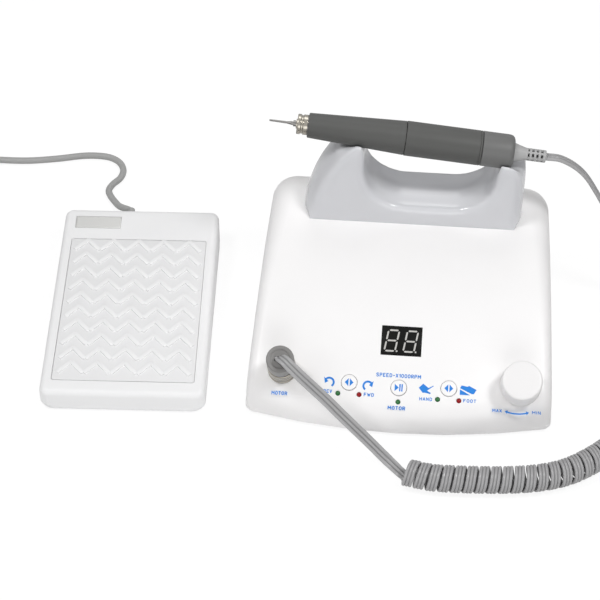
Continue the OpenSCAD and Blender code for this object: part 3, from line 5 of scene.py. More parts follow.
import bmesh
import bpy
from bpy.props import FloatProperty, FloatVectorProperty, IntProperty, PointerProperty
from mathutils import Matrix, Vector
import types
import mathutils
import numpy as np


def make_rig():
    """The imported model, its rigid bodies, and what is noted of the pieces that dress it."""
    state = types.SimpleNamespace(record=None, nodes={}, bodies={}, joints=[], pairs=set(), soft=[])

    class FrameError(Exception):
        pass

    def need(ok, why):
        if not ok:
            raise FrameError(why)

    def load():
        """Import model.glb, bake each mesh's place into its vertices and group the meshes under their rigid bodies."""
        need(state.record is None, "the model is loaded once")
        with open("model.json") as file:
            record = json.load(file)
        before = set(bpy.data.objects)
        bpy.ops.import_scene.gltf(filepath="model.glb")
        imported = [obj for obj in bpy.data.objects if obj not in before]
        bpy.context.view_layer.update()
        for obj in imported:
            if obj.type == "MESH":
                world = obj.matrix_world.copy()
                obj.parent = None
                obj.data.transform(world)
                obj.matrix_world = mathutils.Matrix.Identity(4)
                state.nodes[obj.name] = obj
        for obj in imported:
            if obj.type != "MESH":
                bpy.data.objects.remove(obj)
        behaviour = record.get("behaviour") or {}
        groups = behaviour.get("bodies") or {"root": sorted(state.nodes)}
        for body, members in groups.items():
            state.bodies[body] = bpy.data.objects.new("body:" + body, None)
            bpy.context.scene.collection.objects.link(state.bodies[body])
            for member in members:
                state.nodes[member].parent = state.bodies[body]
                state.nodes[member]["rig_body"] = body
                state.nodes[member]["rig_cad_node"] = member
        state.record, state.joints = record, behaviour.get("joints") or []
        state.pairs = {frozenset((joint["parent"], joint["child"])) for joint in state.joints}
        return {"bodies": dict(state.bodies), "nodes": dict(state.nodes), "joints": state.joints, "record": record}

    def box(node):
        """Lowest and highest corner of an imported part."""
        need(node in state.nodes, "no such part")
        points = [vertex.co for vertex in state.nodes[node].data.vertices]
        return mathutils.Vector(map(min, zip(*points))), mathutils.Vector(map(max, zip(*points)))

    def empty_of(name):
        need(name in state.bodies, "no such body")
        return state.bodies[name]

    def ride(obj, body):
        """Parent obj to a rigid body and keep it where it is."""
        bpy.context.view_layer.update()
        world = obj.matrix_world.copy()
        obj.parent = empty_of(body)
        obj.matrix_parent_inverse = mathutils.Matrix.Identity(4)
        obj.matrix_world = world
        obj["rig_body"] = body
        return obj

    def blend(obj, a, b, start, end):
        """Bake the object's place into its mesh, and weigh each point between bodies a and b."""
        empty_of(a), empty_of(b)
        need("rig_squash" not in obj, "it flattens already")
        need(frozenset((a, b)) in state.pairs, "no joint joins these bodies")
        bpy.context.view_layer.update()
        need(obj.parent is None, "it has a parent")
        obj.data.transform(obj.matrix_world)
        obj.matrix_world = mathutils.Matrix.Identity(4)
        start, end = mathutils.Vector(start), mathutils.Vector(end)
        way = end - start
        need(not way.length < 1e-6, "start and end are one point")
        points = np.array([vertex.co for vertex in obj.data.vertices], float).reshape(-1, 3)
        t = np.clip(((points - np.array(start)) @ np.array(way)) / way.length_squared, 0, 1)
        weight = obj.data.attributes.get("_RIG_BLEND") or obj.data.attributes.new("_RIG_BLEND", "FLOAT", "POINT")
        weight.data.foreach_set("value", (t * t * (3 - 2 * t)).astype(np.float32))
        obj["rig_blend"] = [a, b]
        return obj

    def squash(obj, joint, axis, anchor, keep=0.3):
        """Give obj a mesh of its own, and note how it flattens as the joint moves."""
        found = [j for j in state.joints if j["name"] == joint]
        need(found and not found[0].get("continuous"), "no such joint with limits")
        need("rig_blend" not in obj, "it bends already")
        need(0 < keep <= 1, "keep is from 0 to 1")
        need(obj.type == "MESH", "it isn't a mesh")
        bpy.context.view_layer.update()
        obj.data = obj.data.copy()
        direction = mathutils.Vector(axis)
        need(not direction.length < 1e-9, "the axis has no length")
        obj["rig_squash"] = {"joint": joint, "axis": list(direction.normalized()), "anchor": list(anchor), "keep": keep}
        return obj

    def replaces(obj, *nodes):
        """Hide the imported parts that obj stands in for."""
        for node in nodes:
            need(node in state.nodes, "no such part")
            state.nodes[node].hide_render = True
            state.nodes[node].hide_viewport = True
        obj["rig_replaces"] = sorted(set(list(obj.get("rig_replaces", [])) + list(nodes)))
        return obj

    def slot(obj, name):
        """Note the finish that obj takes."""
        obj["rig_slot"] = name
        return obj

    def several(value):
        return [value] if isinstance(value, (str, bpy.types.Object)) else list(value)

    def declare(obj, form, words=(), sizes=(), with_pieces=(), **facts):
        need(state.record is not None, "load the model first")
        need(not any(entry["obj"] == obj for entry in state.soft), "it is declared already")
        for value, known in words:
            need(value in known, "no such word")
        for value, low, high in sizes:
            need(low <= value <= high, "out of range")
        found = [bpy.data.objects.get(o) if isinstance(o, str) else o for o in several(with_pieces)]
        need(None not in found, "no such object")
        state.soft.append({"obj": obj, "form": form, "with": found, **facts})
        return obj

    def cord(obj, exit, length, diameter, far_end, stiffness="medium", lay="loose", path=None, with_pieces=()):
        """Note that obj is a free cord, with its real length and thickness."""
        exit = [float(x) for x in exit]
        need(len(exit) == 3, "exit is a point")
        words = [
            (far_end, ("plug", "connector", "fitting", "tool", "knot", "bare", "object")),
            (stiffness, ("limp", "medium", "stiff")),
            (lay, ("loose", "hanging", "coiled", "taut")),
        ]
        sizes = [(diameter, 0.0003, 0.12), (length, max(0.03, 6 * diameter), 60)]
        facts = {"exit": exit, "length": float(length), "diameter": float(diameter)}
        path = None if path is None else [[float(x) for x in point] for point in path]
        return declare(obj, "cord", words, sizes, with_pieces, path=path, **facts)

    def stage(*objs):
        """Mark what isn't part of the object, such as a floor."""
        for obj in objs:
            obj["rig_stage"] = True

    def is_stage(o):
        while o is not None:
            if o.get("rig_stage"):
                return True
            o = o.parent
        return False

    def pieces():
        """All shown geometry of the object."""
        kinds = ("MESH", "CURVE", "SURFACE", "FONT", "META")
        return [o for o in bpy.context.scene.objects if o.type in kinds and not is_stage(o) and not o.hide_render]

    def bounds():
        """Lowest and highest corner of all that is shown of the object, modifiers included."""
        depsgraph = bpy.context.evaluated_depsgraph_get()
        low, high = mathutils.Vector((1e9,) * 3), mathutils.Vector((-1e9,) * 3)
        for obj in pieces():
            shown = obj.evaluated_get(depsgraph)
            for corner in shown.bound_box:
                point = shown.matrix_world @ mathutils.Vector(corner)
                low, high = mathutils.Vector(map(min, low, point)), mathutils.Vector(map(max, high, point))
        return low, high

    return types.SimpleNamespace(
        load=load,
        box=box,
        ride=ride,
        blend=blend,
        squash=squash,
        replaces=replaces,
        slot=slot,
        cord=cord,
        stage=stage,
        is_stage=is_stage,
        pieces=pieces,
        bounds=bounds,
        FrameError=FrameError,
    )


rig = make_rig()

bl_info = {
    "name": "Nail drill machine",
    "version": (1, 0, 0),
    "blender": (4, 5, 0),
    "location": "View3D > Sidebar > Nail drill",
    "description": "Builds the visible pieces of a nail drill machine over its CAD frame",
    "category": "Add Mesh",
}

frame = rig.load()
CAD_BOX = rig.bounds()

# Shared measures and places in the frame
MM = 0.001
ROOT = "unit_and_pedal"
FULL_TURN = 2*math.pi
UP = Vector((0, 0, 1))
ALONG_X = Vector((1, 0, 0))
FINE_EDGE = 0.0003
SOFT_EDGE = 0.0004
ROUND_STEPS = 96
HOOP_STEPS = 72
SMALL_STEPS = 40
SHARP_ANGLE = 32
TRIM_ANGLE = 40
FLAT_ANGLE = 0.5
SAME_PLACE = 1e-6
AXIS_REACH = 1e-7
TRAY_LOW, TRAY_HIGH = (Vector(corner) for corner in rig.box("base_tray"))
UNIT = Vector(((TRAY_LOW.x + TRAY_HIGH.x)/2, TRAY_LOW.y, 0))
PEDAL_LOW, PEDAL_HIGH = (Vector(corner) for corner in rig.box("pedal_base"))
PEDAL_MIDDLE = Vector(((PEDAL_LOW.x + PEDAL_HIGH.x)/2, (PEDAL_LOW.y + PEDAL_HIGH.y)/2, 0))
SLOT_OF = {part["node"]: part["material_slot"] for part in frame["record"]["subparts"]}
SLOTS = {material["slot"] for material in frame["record"]["materials"]}


# Sizes and colours

def length(name, description, default):
    """A size in metres."""
    return FloatProperty(name=name, description=description, default=default, unit="LENGTH", precision=5)


def angle(name, description, degrees):
    """A size that is an angle."""
    return FloatProperty(name=name, description=description, default=math.radians(degrees),
                         unit="ROTATION", subtype="ANGLE")


def count(name, description, default):
    """A whole number."""
    return IntProperty(name=name, description=description, default=default, min=1)


def ratio(name, description, default):
    """A plain ratio."""
    return FloatProperty(name=name, description=description, default=default)


def colour(name, description, default):
    """A linear colour."""
    return FloatVectorProperty(name=name, description=description, default=default, size=3,
                               subtype="COLOR", min=0, max=1)


class UnitSizes(bpy.types.PropertyGroup):
    """Sizes of the control unit's housing"""
    width: length("Width", "Width of the housing at its front", 0.190)
    back_width: length("Back width", "Width of the housing at its back", 0.182)
    depth: length("Depth", "Depth of the housing", 0.162)
    lip_height: length("Lip height", "Height where the front wall starts to roll over", 0.007)
    front_radius: length("Front radius", "Radius of the roll above the front wall", 0.018)
    front_slope: angle("Front slope", "Slope of the panel at the front", 32.8)
    panel_radius: length("Panel radius", "Radius of the arched panel", 0.360)
    bow_radius: length("Bow radius", "Radius of the bowed front", 0.374)
    edge_radius: length("Edge radius", "Rounding of the panel's sides at the front", 0.007)
    back_radius: length("Back radius", "Rounding of the panel's sides and end at the back", 0.016)
    side_draft: angle("Side draft", "Lean of the side walls", 2)
    wall: length("Wall", "Thickness of the housing", 0.0025)
    parting: length("Parting", "Height where the upper housing meets the tray", 0.0055)
    rear_width: length("Rear width", "Width of the window in the rear wall", 0.116)
    rear_height: length("Rear height", "Height of the window in the rear wall", 0.034)
    rear_middle: length("Rear middle", "Height of the middle of the window", 0.036)
    winding_reach: length("Winding reach", "How far the winding reaches from its core", 0.0085)
    winding_turns: count("Winding turns", "Turns of the winding that show", 16)
    soft_edge: length("Soft edge", "Cell size of the cradle's softened surface", 0.0009)
    softness: count("Softness", "Rounds of smoothing on the cradle", 140)
    crisp_height: length("Crisp height", "Height in which the cradle's foot stays crisp", 0.005)


class ControlSizes(bpy.types.PropertyGroup):
    """Sizes of the controls on the panel"""
    board_tilt: angle("Board tilt", "Tilt of the board behind the panel", 29.1334)
    button_radius: length("Button radius", "Radius of a push button", 0.0048)
    button_proud: length("Button height", "Height of a push button over the panel", 0.0007)
    button_depth: length("Button depth", "Reach of a push button behind the panel", 0.006)
    button_pitch: length("Button pitch", "Distance between push buttons", 0.0305)
    button_row: length("Button row", "Distance of the middle button from the front", 0.016)
    gap: length("Gap", "Gap round a moving piece", 0.0003)
    lamp_radius: length("Lamp radius", "Radius of a lamp", 0.0015)
    lamp_proud: length("Lamp height", "Height of a lamp over the panel", 0.0006)
    display_width: length("Display width", "Width of the display", 0.025)
    display_length: length("Display length", "Length of the display along the panel", 0.019)
    display_row: length("Display row", "Distance of the display's middle from the front", 0.042)
    display_sink: length("Display sink", "Depth of the display's face in the panel", 0.0002)
    digit_width: length("Digit width", "Width of a digit", 0.0066)
    digit_height: length("Digit height", "Height of a digit", 0.0132)
    segment: length("Segment", "Width of a digit's strokes", 0.0010)
    knob_radius: length("Knob radius", "Radius of the speed knob at its foot", 0.0126)
    knob_taper: length("Knob taper", "How much narrower the knob is at its top", 0.0004)
    knob_height: length("Knob height", "Height of the speed knob", 0.016)
    knob_edge: length("Knob edge", "Rounding of the knob's top edge", 0.0016)
    knob_gap: length("Knob gap", "Gap between the knob and the panel", 0.0009)
    flange_height: length("Flange height", "Height of the socket's flange", 0.002)
    ring_radius: length("Ring radius", "Radius of the plug's coupling ring", 0.0087)
    ring_height: length("Ring height", "Height of the coupling ring", 0.012)
    neck_radius: length("Neck radius", "Radius of the plug's neck", 0.007)
    neck_height: length("Neck height", "Height of the plug's neck", 0.003)
    plug_radius: length("Plug radius", "Radius of the plug's body", 0.0085)
    plug_height: length("Plug height", "Height of the plug's body", 0.012)
    plug_edge: length("Plug edge", "Rounding of the plug's top edge", 0.0012)
    letter_stroke: ratio("Letter stroke", "Stroke of the letters over their height", 0.2)
    print_thickness: length("Print thickness", "Thickness of the print", 0.00004)


class HandSizes(bpy.types.PropertyGroup):
    """Sizes of the handpiece, along its axis from the front of the grip"""
    tilt: angle("Tilt", "Slope of the handpiece in its cradle", 5.8)
    grip_length: length("Grip length", "Length of the grip", 0.0603)
    grip_front: length("Grip front", "Radius of the grip at its front", 0.0077)
    grip_back: length("Grip back", "Radius of the grip at its back", 0.0106)
    grip_bore: length("Grip bore", "Radius of the bore in the grip", 0.0066)
    seam: length("Seam", "Gap between pieces", 0.0003)
    seam_edge: length("Seam edge", "Rounding of the edges at the seams", 0.0004)
    motor_length: length("Motor length", "Length of the motor's housing", 0.047)
    motor_radius: length("Motor radius", "Radius of the motor's housing", 0.0108)
    cap_length: length("Cap length", "Length of the rear cap", 0.020)
    cap_edge: length("Cap edge", "Rounding of the rear cap", 0.004)
    boot_length: length("Boot length", "Length of the cord's boot", 0.020)
    boot_cone: length("Boot cone", "Length of the boot's cone", 0.0075)
    boot_base: length("Boot base", "Radius of the boot at the cap", 0.006)
    boot_end: length("Boot end", "Radius of the boot at the cord", 0.0039)
    boot_core: length("Boot core", "Radius at the bottom of the boot's slots", 0.0026)
    boot_slot: length("Boot slot", "Width of the boot's slots", 0.0014)
    nose_length: length("Nose length", "Length of the nose ring", 0.0065)
    nose_radius: length("Nose radius", "Radius of the nose ring", 0.0063)
    spindle_radius: length("Spindle radius", "Radius of the spindle's front", 0.003)
    shank_radius: length("Shank radius", "Radius of the bit's shank", 0.001175)
    bit_radius: length("Bit radius", "Radius of the bit's neck", 0.00075)


class PedalSizes(bpy.types.PropertyGroup):
    """Sizes of the foot pedal"""
    yaw: angle("Yaw", "Turn of the pedal on the table", 3)
    width: length("Width", "Width of the pedal", 0.103)
    depth: length("Depth", "Depth of the pedal", 0.158)
    front_height: length("Front height", "Height of the top at the front", 0.017)
    back_height: length("Back height", "Height of the top at the back", 0.027)
    parting: length("Parting", "Height where the cover meets the base", 0.005)
    corner_radius: length("Corner radius", "Rounding of the upright edges", 0.0055)
    edge_radius: length("Edge radius", "Rounding of the top's edges", 0.0038)
    wall: length("Wall", "Thickness of the cover", 0.0025)
    tread_width: length("Tread width", "Width of the tread", 0.089)
    tread_length: length("Tread length", "Length of the tread", 0.120)
    tread_front: length("Tread front", "Distance of the tread from the front", 0.010)
    tread_thickness: length("Tread thickness", "Thickness of the tread", 0.0025)
    tread_gap: length("Tread gap", "Gap round the tread", 0.0005)
    bar_columns: count("Bar columns", "Columns of raised chevrons", 5)
    bar_rows: count("Bar rows", "Rows of raised chevrons", 10)
    bar_pitch: length("Bar pitch", "Distance between columns", 0.0167)
    row_pitch: length("Row pitch", "Distance between rows", 0.0116)
    bar_length: length("Bar length", "Length of a raised bar", 0.0124)
    bar_width: length("Bar width", "Width of a raised bar", 0.0027)
    bar_height: length("Bar height", "Height of a raised bar", 0.0008)
    bar_lean: angle("Bar lean", "Slant of the raised bars", 48)
    spring_wire: length("Spring wire", "Half the thickness of the spring's wire", 0.0006)
    spring_turns: count("Spring turns", "Open turns of the spring", 3)
    tread_edge: length("Tread edge", "Rounding of the tread's upper edge", 0.0005)
    tread_corner: length("Tread corner", "Rounding of the tread's corners", 0.0015)
    tread_side_gap: length("Tread side gap", "Gap at the tread's sides and back", 0.0002)
    badge_width: length("Badge width", "Width of the badge", 0.030)
    badge_length: length("Badge length", "Length of the badge", 0.0105)
    badge_thickness: length("Badge thickness", "Thickness of the badge", 0.0008)
    badge_sunk: length("Badge sunk", "Depth of the badge's recess", 0.0005)
    badge_inset: length("Badge inset", "Distance of the badge's middle from the left side", 0.023)
    badge_row: length("Badge row", "Distance of the badge's middle from the front", 0.145)
    gland_length: length("Gland length", "Length of the cord's gland", 0.012)
    gland_radius: length("Gland radius", "Radius of the gland at the pedal", 0.005)
    gland_end: length("Gland end", "Radius of the gland at the cord", 0.0033)
    gland_shift: length("Gland shift", "Place of the gland across the back", -0.010)
    gland_height: length("Gland height", "Height of the gland's middle", 0.011)


class CordSizes(bpy.types.PropertyGroup):
    """Sizes of the cords"""
    ribbon_width: length("Ribbon width", "Width of the flat handpiece cord", 0.0061)
    strand: length("Strand", "Radius of each of its three strands", 0.0011)
    curl_radius: length("Curl radius", "Radius of the curls", 0.0073)
    curl_pitch: length("Curl pitch", "Distance between curls", 0.0071)
    curls: count("Curls", "Number of curls", 30)
    curl_steps: count("Curl steps", "Rings of mesh in a curl", 20)
    crowd: ratio("Crowd", "How much closer the first and last curl lie", 0.15)
    curl_start: ratio("Curl start", "Part of a pitch before the first curl", 0.15)
    first_raise: length("First raise", "How far the lead lifts the first curl", 0.0015)
    lift: length("Lift", "Height of the curls over the table", 0.0002)
    lead_turn: length("Lead turn", "Length in which the straight lead turns its flat side", 0.018)
    lead_spread: ratio("Lead spread", "How much wider the lead is than its curls", 1.17)
    pedal_cord: length("Pedal cord", "Diameter of the pedal's cord", 0.0046)
    coil_radius: length("Coil radius", "Radius of the coil's inmost turn", 0.017)
    coil_step: length("Coil step", "Distance between turns of the coil", 0.0052)
    coil_loops: count("Coil loops", "Turns in each layer of the coil", 4)
    coil_steps: count("Coil steps", "Rings of mesh in a turn of the coil", 36)
    coil_low: length("Coil low", "Height of the lower layer's middle", 0.0035)
    coil_end: length("Coil end", "Height of the cord's end", 0.0057)


class Colours(bpy.types.PropertyGroup):
    """Linear colours of the finishes"""
    white: colour("White", "White housing", (0.90, 0.89, 0.89))
    # The knob is the housing's white plastic made darker as painted shade, so its upward-facing top renders no brighter
    # than the panel
    knob: colour("Knob", "White knob", (0.83, 0.82, 0.82))
    pedal: colour("Pedal", "White pedal", (0.86, 0.86, 0.865))
    tread: colour("Tread", "Matt floor of the tread", (0.80, 0.80, 0.805))
    cradle: colour("Cradle", "Light grey cradle", (0.645, 0.65, 0.675))
    hand: colour("Handpiece", "Dark grey handpiece", (0.076, 0.077, 0.074))
    cap: colour("Rear cap", "Grey rear cap", (0.135, 0.136, 0.134))
    boot: colour("Boot", "Grey boot", (0.40, 0.40, 0.40))
    cord: colour("Cord", "Grey handpiece cord", (0.365, 0.362, 0.367))
    pedal_cord: colour("Pedal cord", "Grey pedal cord", (0.37, 0.37, 0.365))
    plug: colour("Plug", "Grey plug", (0.215, 0.21, 0.205))
    # Nickel and steel are darker than the bare metals: painted reflection that stands in for dark surroundings mirrored
    # in them, as the world mirrors only white
    nickel: colour("Nickel", "Warm nickel", (0.33, 0.31, 0.27))
    steel: colour("Steel", "Plain steel", (0.21, 0.205, 0.20))
    black: colour("Black", "Black plastic", (0.018, 0.018, 0.018))
    display: colour("Display", "Dark display face", (0.009, 0.009, 0.0085))
    segment: colour("Segments", "Unlit segments", (0.52, 0.51, 0.49))
    green: colour("Green lamp", "Unlit green lamp", (0.03, 0.15, 0.045))
    red: colour("Red lamp", "Unlit red lamp", (0.26, 0.003, 0.006))
    print: colour("Print", "Blue print", (0.012, 0.21, 0.68))
    board: colour("Board", "Green circuit board", (0.03, 0.12, 0.05))
    copper: colour("Copper", "Copper wire", (0.55, 0.22, 0.09))
    badge: colour("Badge", "Silvery badge", (0.50, 0.50, 0.49))


SIZE_GROUPS = {"drill_unit": UnitSizes, "drill_controls": ControlSizes, "drill_hand": HandSizes,
               "drill_pedal": PedalSizes, "drill_cords": CordSizes, "drill_colours": Colours}


# Finishes

class Socket:
    """Output of a shader node that stands in Python expressions."""

    def __init__(self, nodes, output):
        self.nodes = nodes
        self.output = output

    def math(self, operation, first, second):
        """Any two-input math node."""
        return self.nodes.add("ShaderNodeMath", {"operation": operation}, {0: first, 1: second})

    def __add__(self, other):
        return self.math("ADD", self, other)

    def __radd__(self, other):
        return self.math("ADD", other, self)

    def __sub__(self, other):
        return self.math("SUBTRACT", self, other)

    def __rsub__(self, other):
        return self.math("SUBTRACT", other, self)

    def __mul__(self, other):
        return self.math("MULTIPLY", self, other)

    def __rmul__(self, other):
        return self.math("MULTIPLY", other, self)


class Nodes:
    """Shader nodes of one material or world."""

    def __init__(self, tree):
        self.tree = tree
        tree.nodes.clear()

    def add(self, kind, settings=None, inputs=None, output=0):
        """Adds a node with its settings and inputs, and gives one of its outputs."""
        node = self.tree.nodes.new(kind)
        for key, value in (settings or {}).items():
            setattr(node, key, value)
        for key, value in (inputs or {}).items():
            self.feed(node.inputs[key], value)
        return Socket(self, node.outputs[output]) if node.outputs else node

    def feed(self, socket, value):
        """Links a socket or sets its value."""
        if isinstance(value, Socket):
            self.tree.links.new(value.output, socket)
        else:
            socket.default_value = value

    def noise(self, place, scale, detail=2.0):
        """Value noise on a place."""
        return self.add("ShaderNodeTexNoise", inputs={"Vector": place, "Scale": scale, "Detail": detail})

    def blend(self, factor, first, second):
        """Mix of two colours."""
        return self.add("ShaderNodeMix", {"data_type": "RGBA"}, {0: factor, 6: first, 7: second}, output=2)


def rgba(value, shade=1.0):
    """Colour with alpha, made darker or lighter."""
    return (*[min(1.0, part*shade) for part in value], 1.0)


# Tone of the painted shade in a cord's creases, as a share of its colour; then the bump's strength and the coat's
# roughness
CREASE_SHADE_TONE = 0.2
BUMP_STRENGTH = 0.6
COAT_ROUGHNESS = 0.12


def finish(name, value, roughness, grain=900.0, depth=0.00002, mottle=0.05, swing=0.1, metal=0.0, coat=0.0,
           stretch=(1, 1, 1), speck=45.0, gloss=0.35, valley=0.0):
    """Material with a cloudy colour, an uneven roughness, a fine grain and, where asked, painted crease shade."""
    material = bpy.data.materials.new(name)
    material.use_nodes = True
    nodes = Nodes(material.node_tree)
    place = nodes.add("ShaderNodeTexCoord", output="Object")
    drawn = nodes.add("ShaderNodeMapping", inputs={"Vector": place, "Scale": stretch})
    cloud = nodes.noise(drawn, speck, 3.0)
    fine = nodes.noise(drawn, grain, 2.0)
    base = nodes.blend(cloud, rgba(value, 1 - mottle), rgba(value, 1 + mottle))
    # Painted shade: the colour darkens in the creases between a cord's strands, weighed by the tube's attribute
    if valley:
        low = nodes.add("ShaderNodeAttribute", {"attribute_name": "valley"}, output="Fac")
        base = nodes.blend(low*valley, base, rgba(value, CREASE_SHADE_TONE))
    bump = nodes.add("ShaderNodeBump", inputs={"Height": fine, "Distance": depth, "Strength": BUMP_STRENGTH})
    shader = nodes.add("ShaderNodeBsdfPrincipled", inputs={
        "Base Color": base, "Roughness": roughness + (fine - 0.5)*swing + (cloud - 0.5)*swing,
        "Metallic": metal, "Specular IOR Level": gloss, "Coat Weight": coat,
        "Coat Roughness": COAT_ROUGHNESS, "Normal": bump})
    nodes.add("ShaderNodeOutputMaterial", inputs={"Surface": shader})
    return material


# Colour and roughness of each finish, and what differs from a plain one
ALONG_AXIS = (1, 1, 0.08)
ALONG_BADGE = (0.06, 1, 1)
LOOKS = {
    "white_plastic": ("white", 0.38, dict(grain=1500, depth=8e-6, mottle=0.012)),
    # The knob's finish is the white plastic darkened as painted shade
    "knob_plastic": ("knob", 0.34, dict(grain=1500, depth=8e-6, mottle=0.012)),
    "pedal_plastic": ("pedal", 0.5, dict(grain=1300, depth=3e-5, mottle=0.015)),
    "tread_floor": ("tread", 0.62, dict(grain=1100, depth=5e-5, mottle=0.02)),
    "cradle_plastic": ("cradle", 0.17, dict(grain=1400, depth=4e-6, mottle=0.02, swing=0.05, gloss=0.5)),
    "handpiece_plastic": ("hand", 0.5, dict(grain=1600, depth=3e-5)),
    "cap_plastic": ("cap", 0.46, dict(grain=1600, depth=3e-5)),
    "boot_rubber": ("boot", 0.55, dict(grain=1200, depth=3e-5)),
    # The cord's jacket takes painted shade in the creases between its strands
    "cord_jacket": ("cord", 0.3, dict(mottle=0.06, valley=0.9)),
    "pedal_cord_jacket": ("pedal_cord", 0.45, dict()),
    "plug_plastic": ("plug", 0.4, dict(grain=1300)),
    "nickel": ("nickel", 0.2, dict(metal=1.0, stretch=ALONG_AXIS, grain=2500, depth=5e-6)),
    "steel": ("steel", 0.3, dict(metal=1.0, stretch=ALONG_AXIS, grain=2500, depth=5e-6)),
    "black_plastic": ("black", 0.45, dict(grain=1200, mottle=0.15)),
    "black_rubber": ("black", 0.7, dict(grain=800, depth=4e-5, mottle=0.2)),
    "display_face": ("display", 0.4, dict(grain=1500, depth=2e-6, gloss=0.05)),
    "segment": ("segment", 0.5, dict(grain=1500, depth=4e-6, mottle=0.08)),
    "lamp_green": ("green", 0.25, dict(speck=900, mottle=0.3, depth=4e-6, coat=0.1, gloss=0.2)),
    "lamp_red": ("red", 0.25, dict(speck=900, mottle=0.3, depth=4e-6, coat=0.1, gloss=0.2)),
    "print": ("print", 0.5, dict(grain=3000, depth=4e-6, mottle=0.06)),
    "circuit_board": ("board", 0.35, dict(speck=250, mottle=0.35, coat=0.4)),
    "copper_wire": ("copper", 0.3, dict(metal=1.0, stretch=ALONG_AXIS, grain=2500)),
    "magnet": ("black", 0.5, dict(mottle=0.3)),
    "carbon": ("black", 0.6, dict(mottle=0.3)),
    "rocker_plastic": ("black", 0.3, dict(grain=1400, mottle=0.15)),
    "badge_metal": ("badge", 0.34, dict(metal=0.75, stretch=ALONG_BADGE, grain=2600, depth=6e-6)),
}
FINISHES = {}


def make_finishes(tones):
    """One finish for each material slot of the record, and some for added details."""
    for name, (tone, roughness, look) in LOOKS.items():
        FINISHES[name] = finish(name, getattr(tones, tone), roughness, **look)


# Shapes

def face_out(bm):
    """Turns every face outwards."""
    bmesh.ops.recalc_face_normals(bm, faces=bm.faces[:])


def merge(bm, reach=SAME_PLACE):
    """Joins points that lie in the same place."""
    bmesh.ops.remove_doubles(bm, verts=bm.verts[:], dist=reach)


def bevel(bm, edges, radius, segments):
    """Rounds edges."""
    bmesh.ops.bevel(bm, geom=edges, offset=radius, segments=segments, profile=0.5, affect="EDGES",
                    material=-1)


def only(items, kind):
    """The points or edges among the results of an operator."""
    return [item for item in items if isinstance(item, kind)]


def rounded(corners, steps=5):
    """Points of a profile whose corners may have a third number, the reach of their rounding."""
    points = [Vector(corner[:2]) for corner in corners]
    out = []
    for k, corner in enumerate(corners):
        reach = corner[2] if len(corner) > 2 else 0
        if not reach or k in (0, len(corners) - 1):
            out.append(points[k])
            continue
        start = points[k] + (points[k - 1] - points[k]).normalized()*reach
        end = points[k] + (points[k + 1] - points[k]).normalized()*reach
        for step in range(steps + 1):
            t = step/steps
            out.append(start*(1 - t)**2 + points[k]*(2*t*(1 - t)) + end*t**2)
    return out


def lathe(corners, steps=64):
    """Mesh turned about z from (radius, height, rounding) corners; a ring if it starts off the axis."""
    bm = bmesh.new()
    verts = [bm.verts.new((point.x, 0, point.y)) for point in rounded(corners)]
    edges = [bm.edges.new(pair) for pair in zip(verts, verts[1:])]
    if corners[0][0] > 0 and corners[-1][0] > 0:
        edges.append(bm.edges.new((verts[-1], verts[0])))
    bmesh.ops.spin(bm, geom=verts + edges, cent=(0, 0, 0), axis=(0, 0, 1), angle=FULL_TURN,
                   steps=steps, use_merge=True)
    merge(bm, AXIS_REACH)
    face_out(bm)
    return bm


def block(bm, size, place=(0, 0, 0), turn=0.0, edge=0.0, segments=3):
    """Adds a box with rounded edges, turned about z."""
    matrix = Matrix.Translation(place) @ Matrix.Rotation(turn, 4, "Z") @ Matrix.Diagonal((*size, 1))
    verts = bmesh.ops.create_cube(bm, size=1, matrix=matrix)["verts"]
    if edge:
        bevel(bm, list({e for vert in verts for e in vert.link_edges}), edge, segments)


def round_upright(bm, radius, segments=6):
    """Rounds the upright edges of a box."""
    upright = [e for e in bm.edges if (e.verts[0].co - e.verts[1].co).normalized().z**2 > 0.5]
    bevel(bm, upright, radius, segments)


def join(bm, other, matrix=None):
    """Adds a mesh to another and lets it go."""
    if matrix is not None:
        other.transform(matrix)
    mesh = bpy.data.meshes.new("joined")
    other.to_mesh(mesh)
    other.free()
    bm.from_mesh(mesh)
    bpy.data.meshes.remove(mesh)


def patch(bm, points):
    """Adds a flat face through points in the plane."""
    return bm.faces.new([bm.verts.new((x, y, 0)) for x, y in points])


def thicken(bm, thickness):
    """Gives flat faces a thickness upwards."""
    made = bmesh.ops.extrude_face_region(bm, geom=bm.faces[:])["geom"]
    bmesh.ops.translate(bm, verts=only(made, bmesh.types.BMVert), vec=(0, 0, thickness))
    face_out(bm)


def show(name, bm, matrix=None):
    """Object of a mesh, at the origin."""
    if matrix is not None:
        bm.transform(matrix)
    mesh = bpy.data.meshes.new(name)
    bm.to_mesh(mesh)
    bm.free()
    obj = bpy.data.objects.new(name, mesh)
    bpy.context.scene.collection.objects.link(obj)
    return obj


def dress(obj, slot, body=None, stands_for=(), sharp=SHARP_ANGLE):
    """Gives an object its shading, finish and body, and the CAD nodes it stands for."""
    mesh = obj.data
    mesh.shade_smooth()
    mesh.set_sharp_from_angle(angle=math.radians(sharp))
    mesh.materials.clear()
    mesh.materials.append(FINISHES[slot])
    if slot in SLOTS:
        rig.slot(obj, slot)
    if body:
        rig.ride(obj, body)
    if stands_for:
        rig.replaces(obj, *stands_for)
    return obj


def piece(name, bm, slot, body, matrix=None, stands_for=(), sharp=SHARP_ANGLE):
    """A finished piece of the object."""
    return dress(show(name, bm, matrix), slot, body, stands_for, sharp)


def settle(obj):
    """Turns an object's modifiers into its mesh."""
    bpy.context.view_layer.update()
    seen = obj.evaluated_get(bpy.context.evaluated_depsgraph_get())
    mesh = bpy.data.meshes.new_from_object(seen)
    obj.modifiers.clear()
    old = obj.data
    obj.data = mesh
    bpy.data.meshes.remove(old)


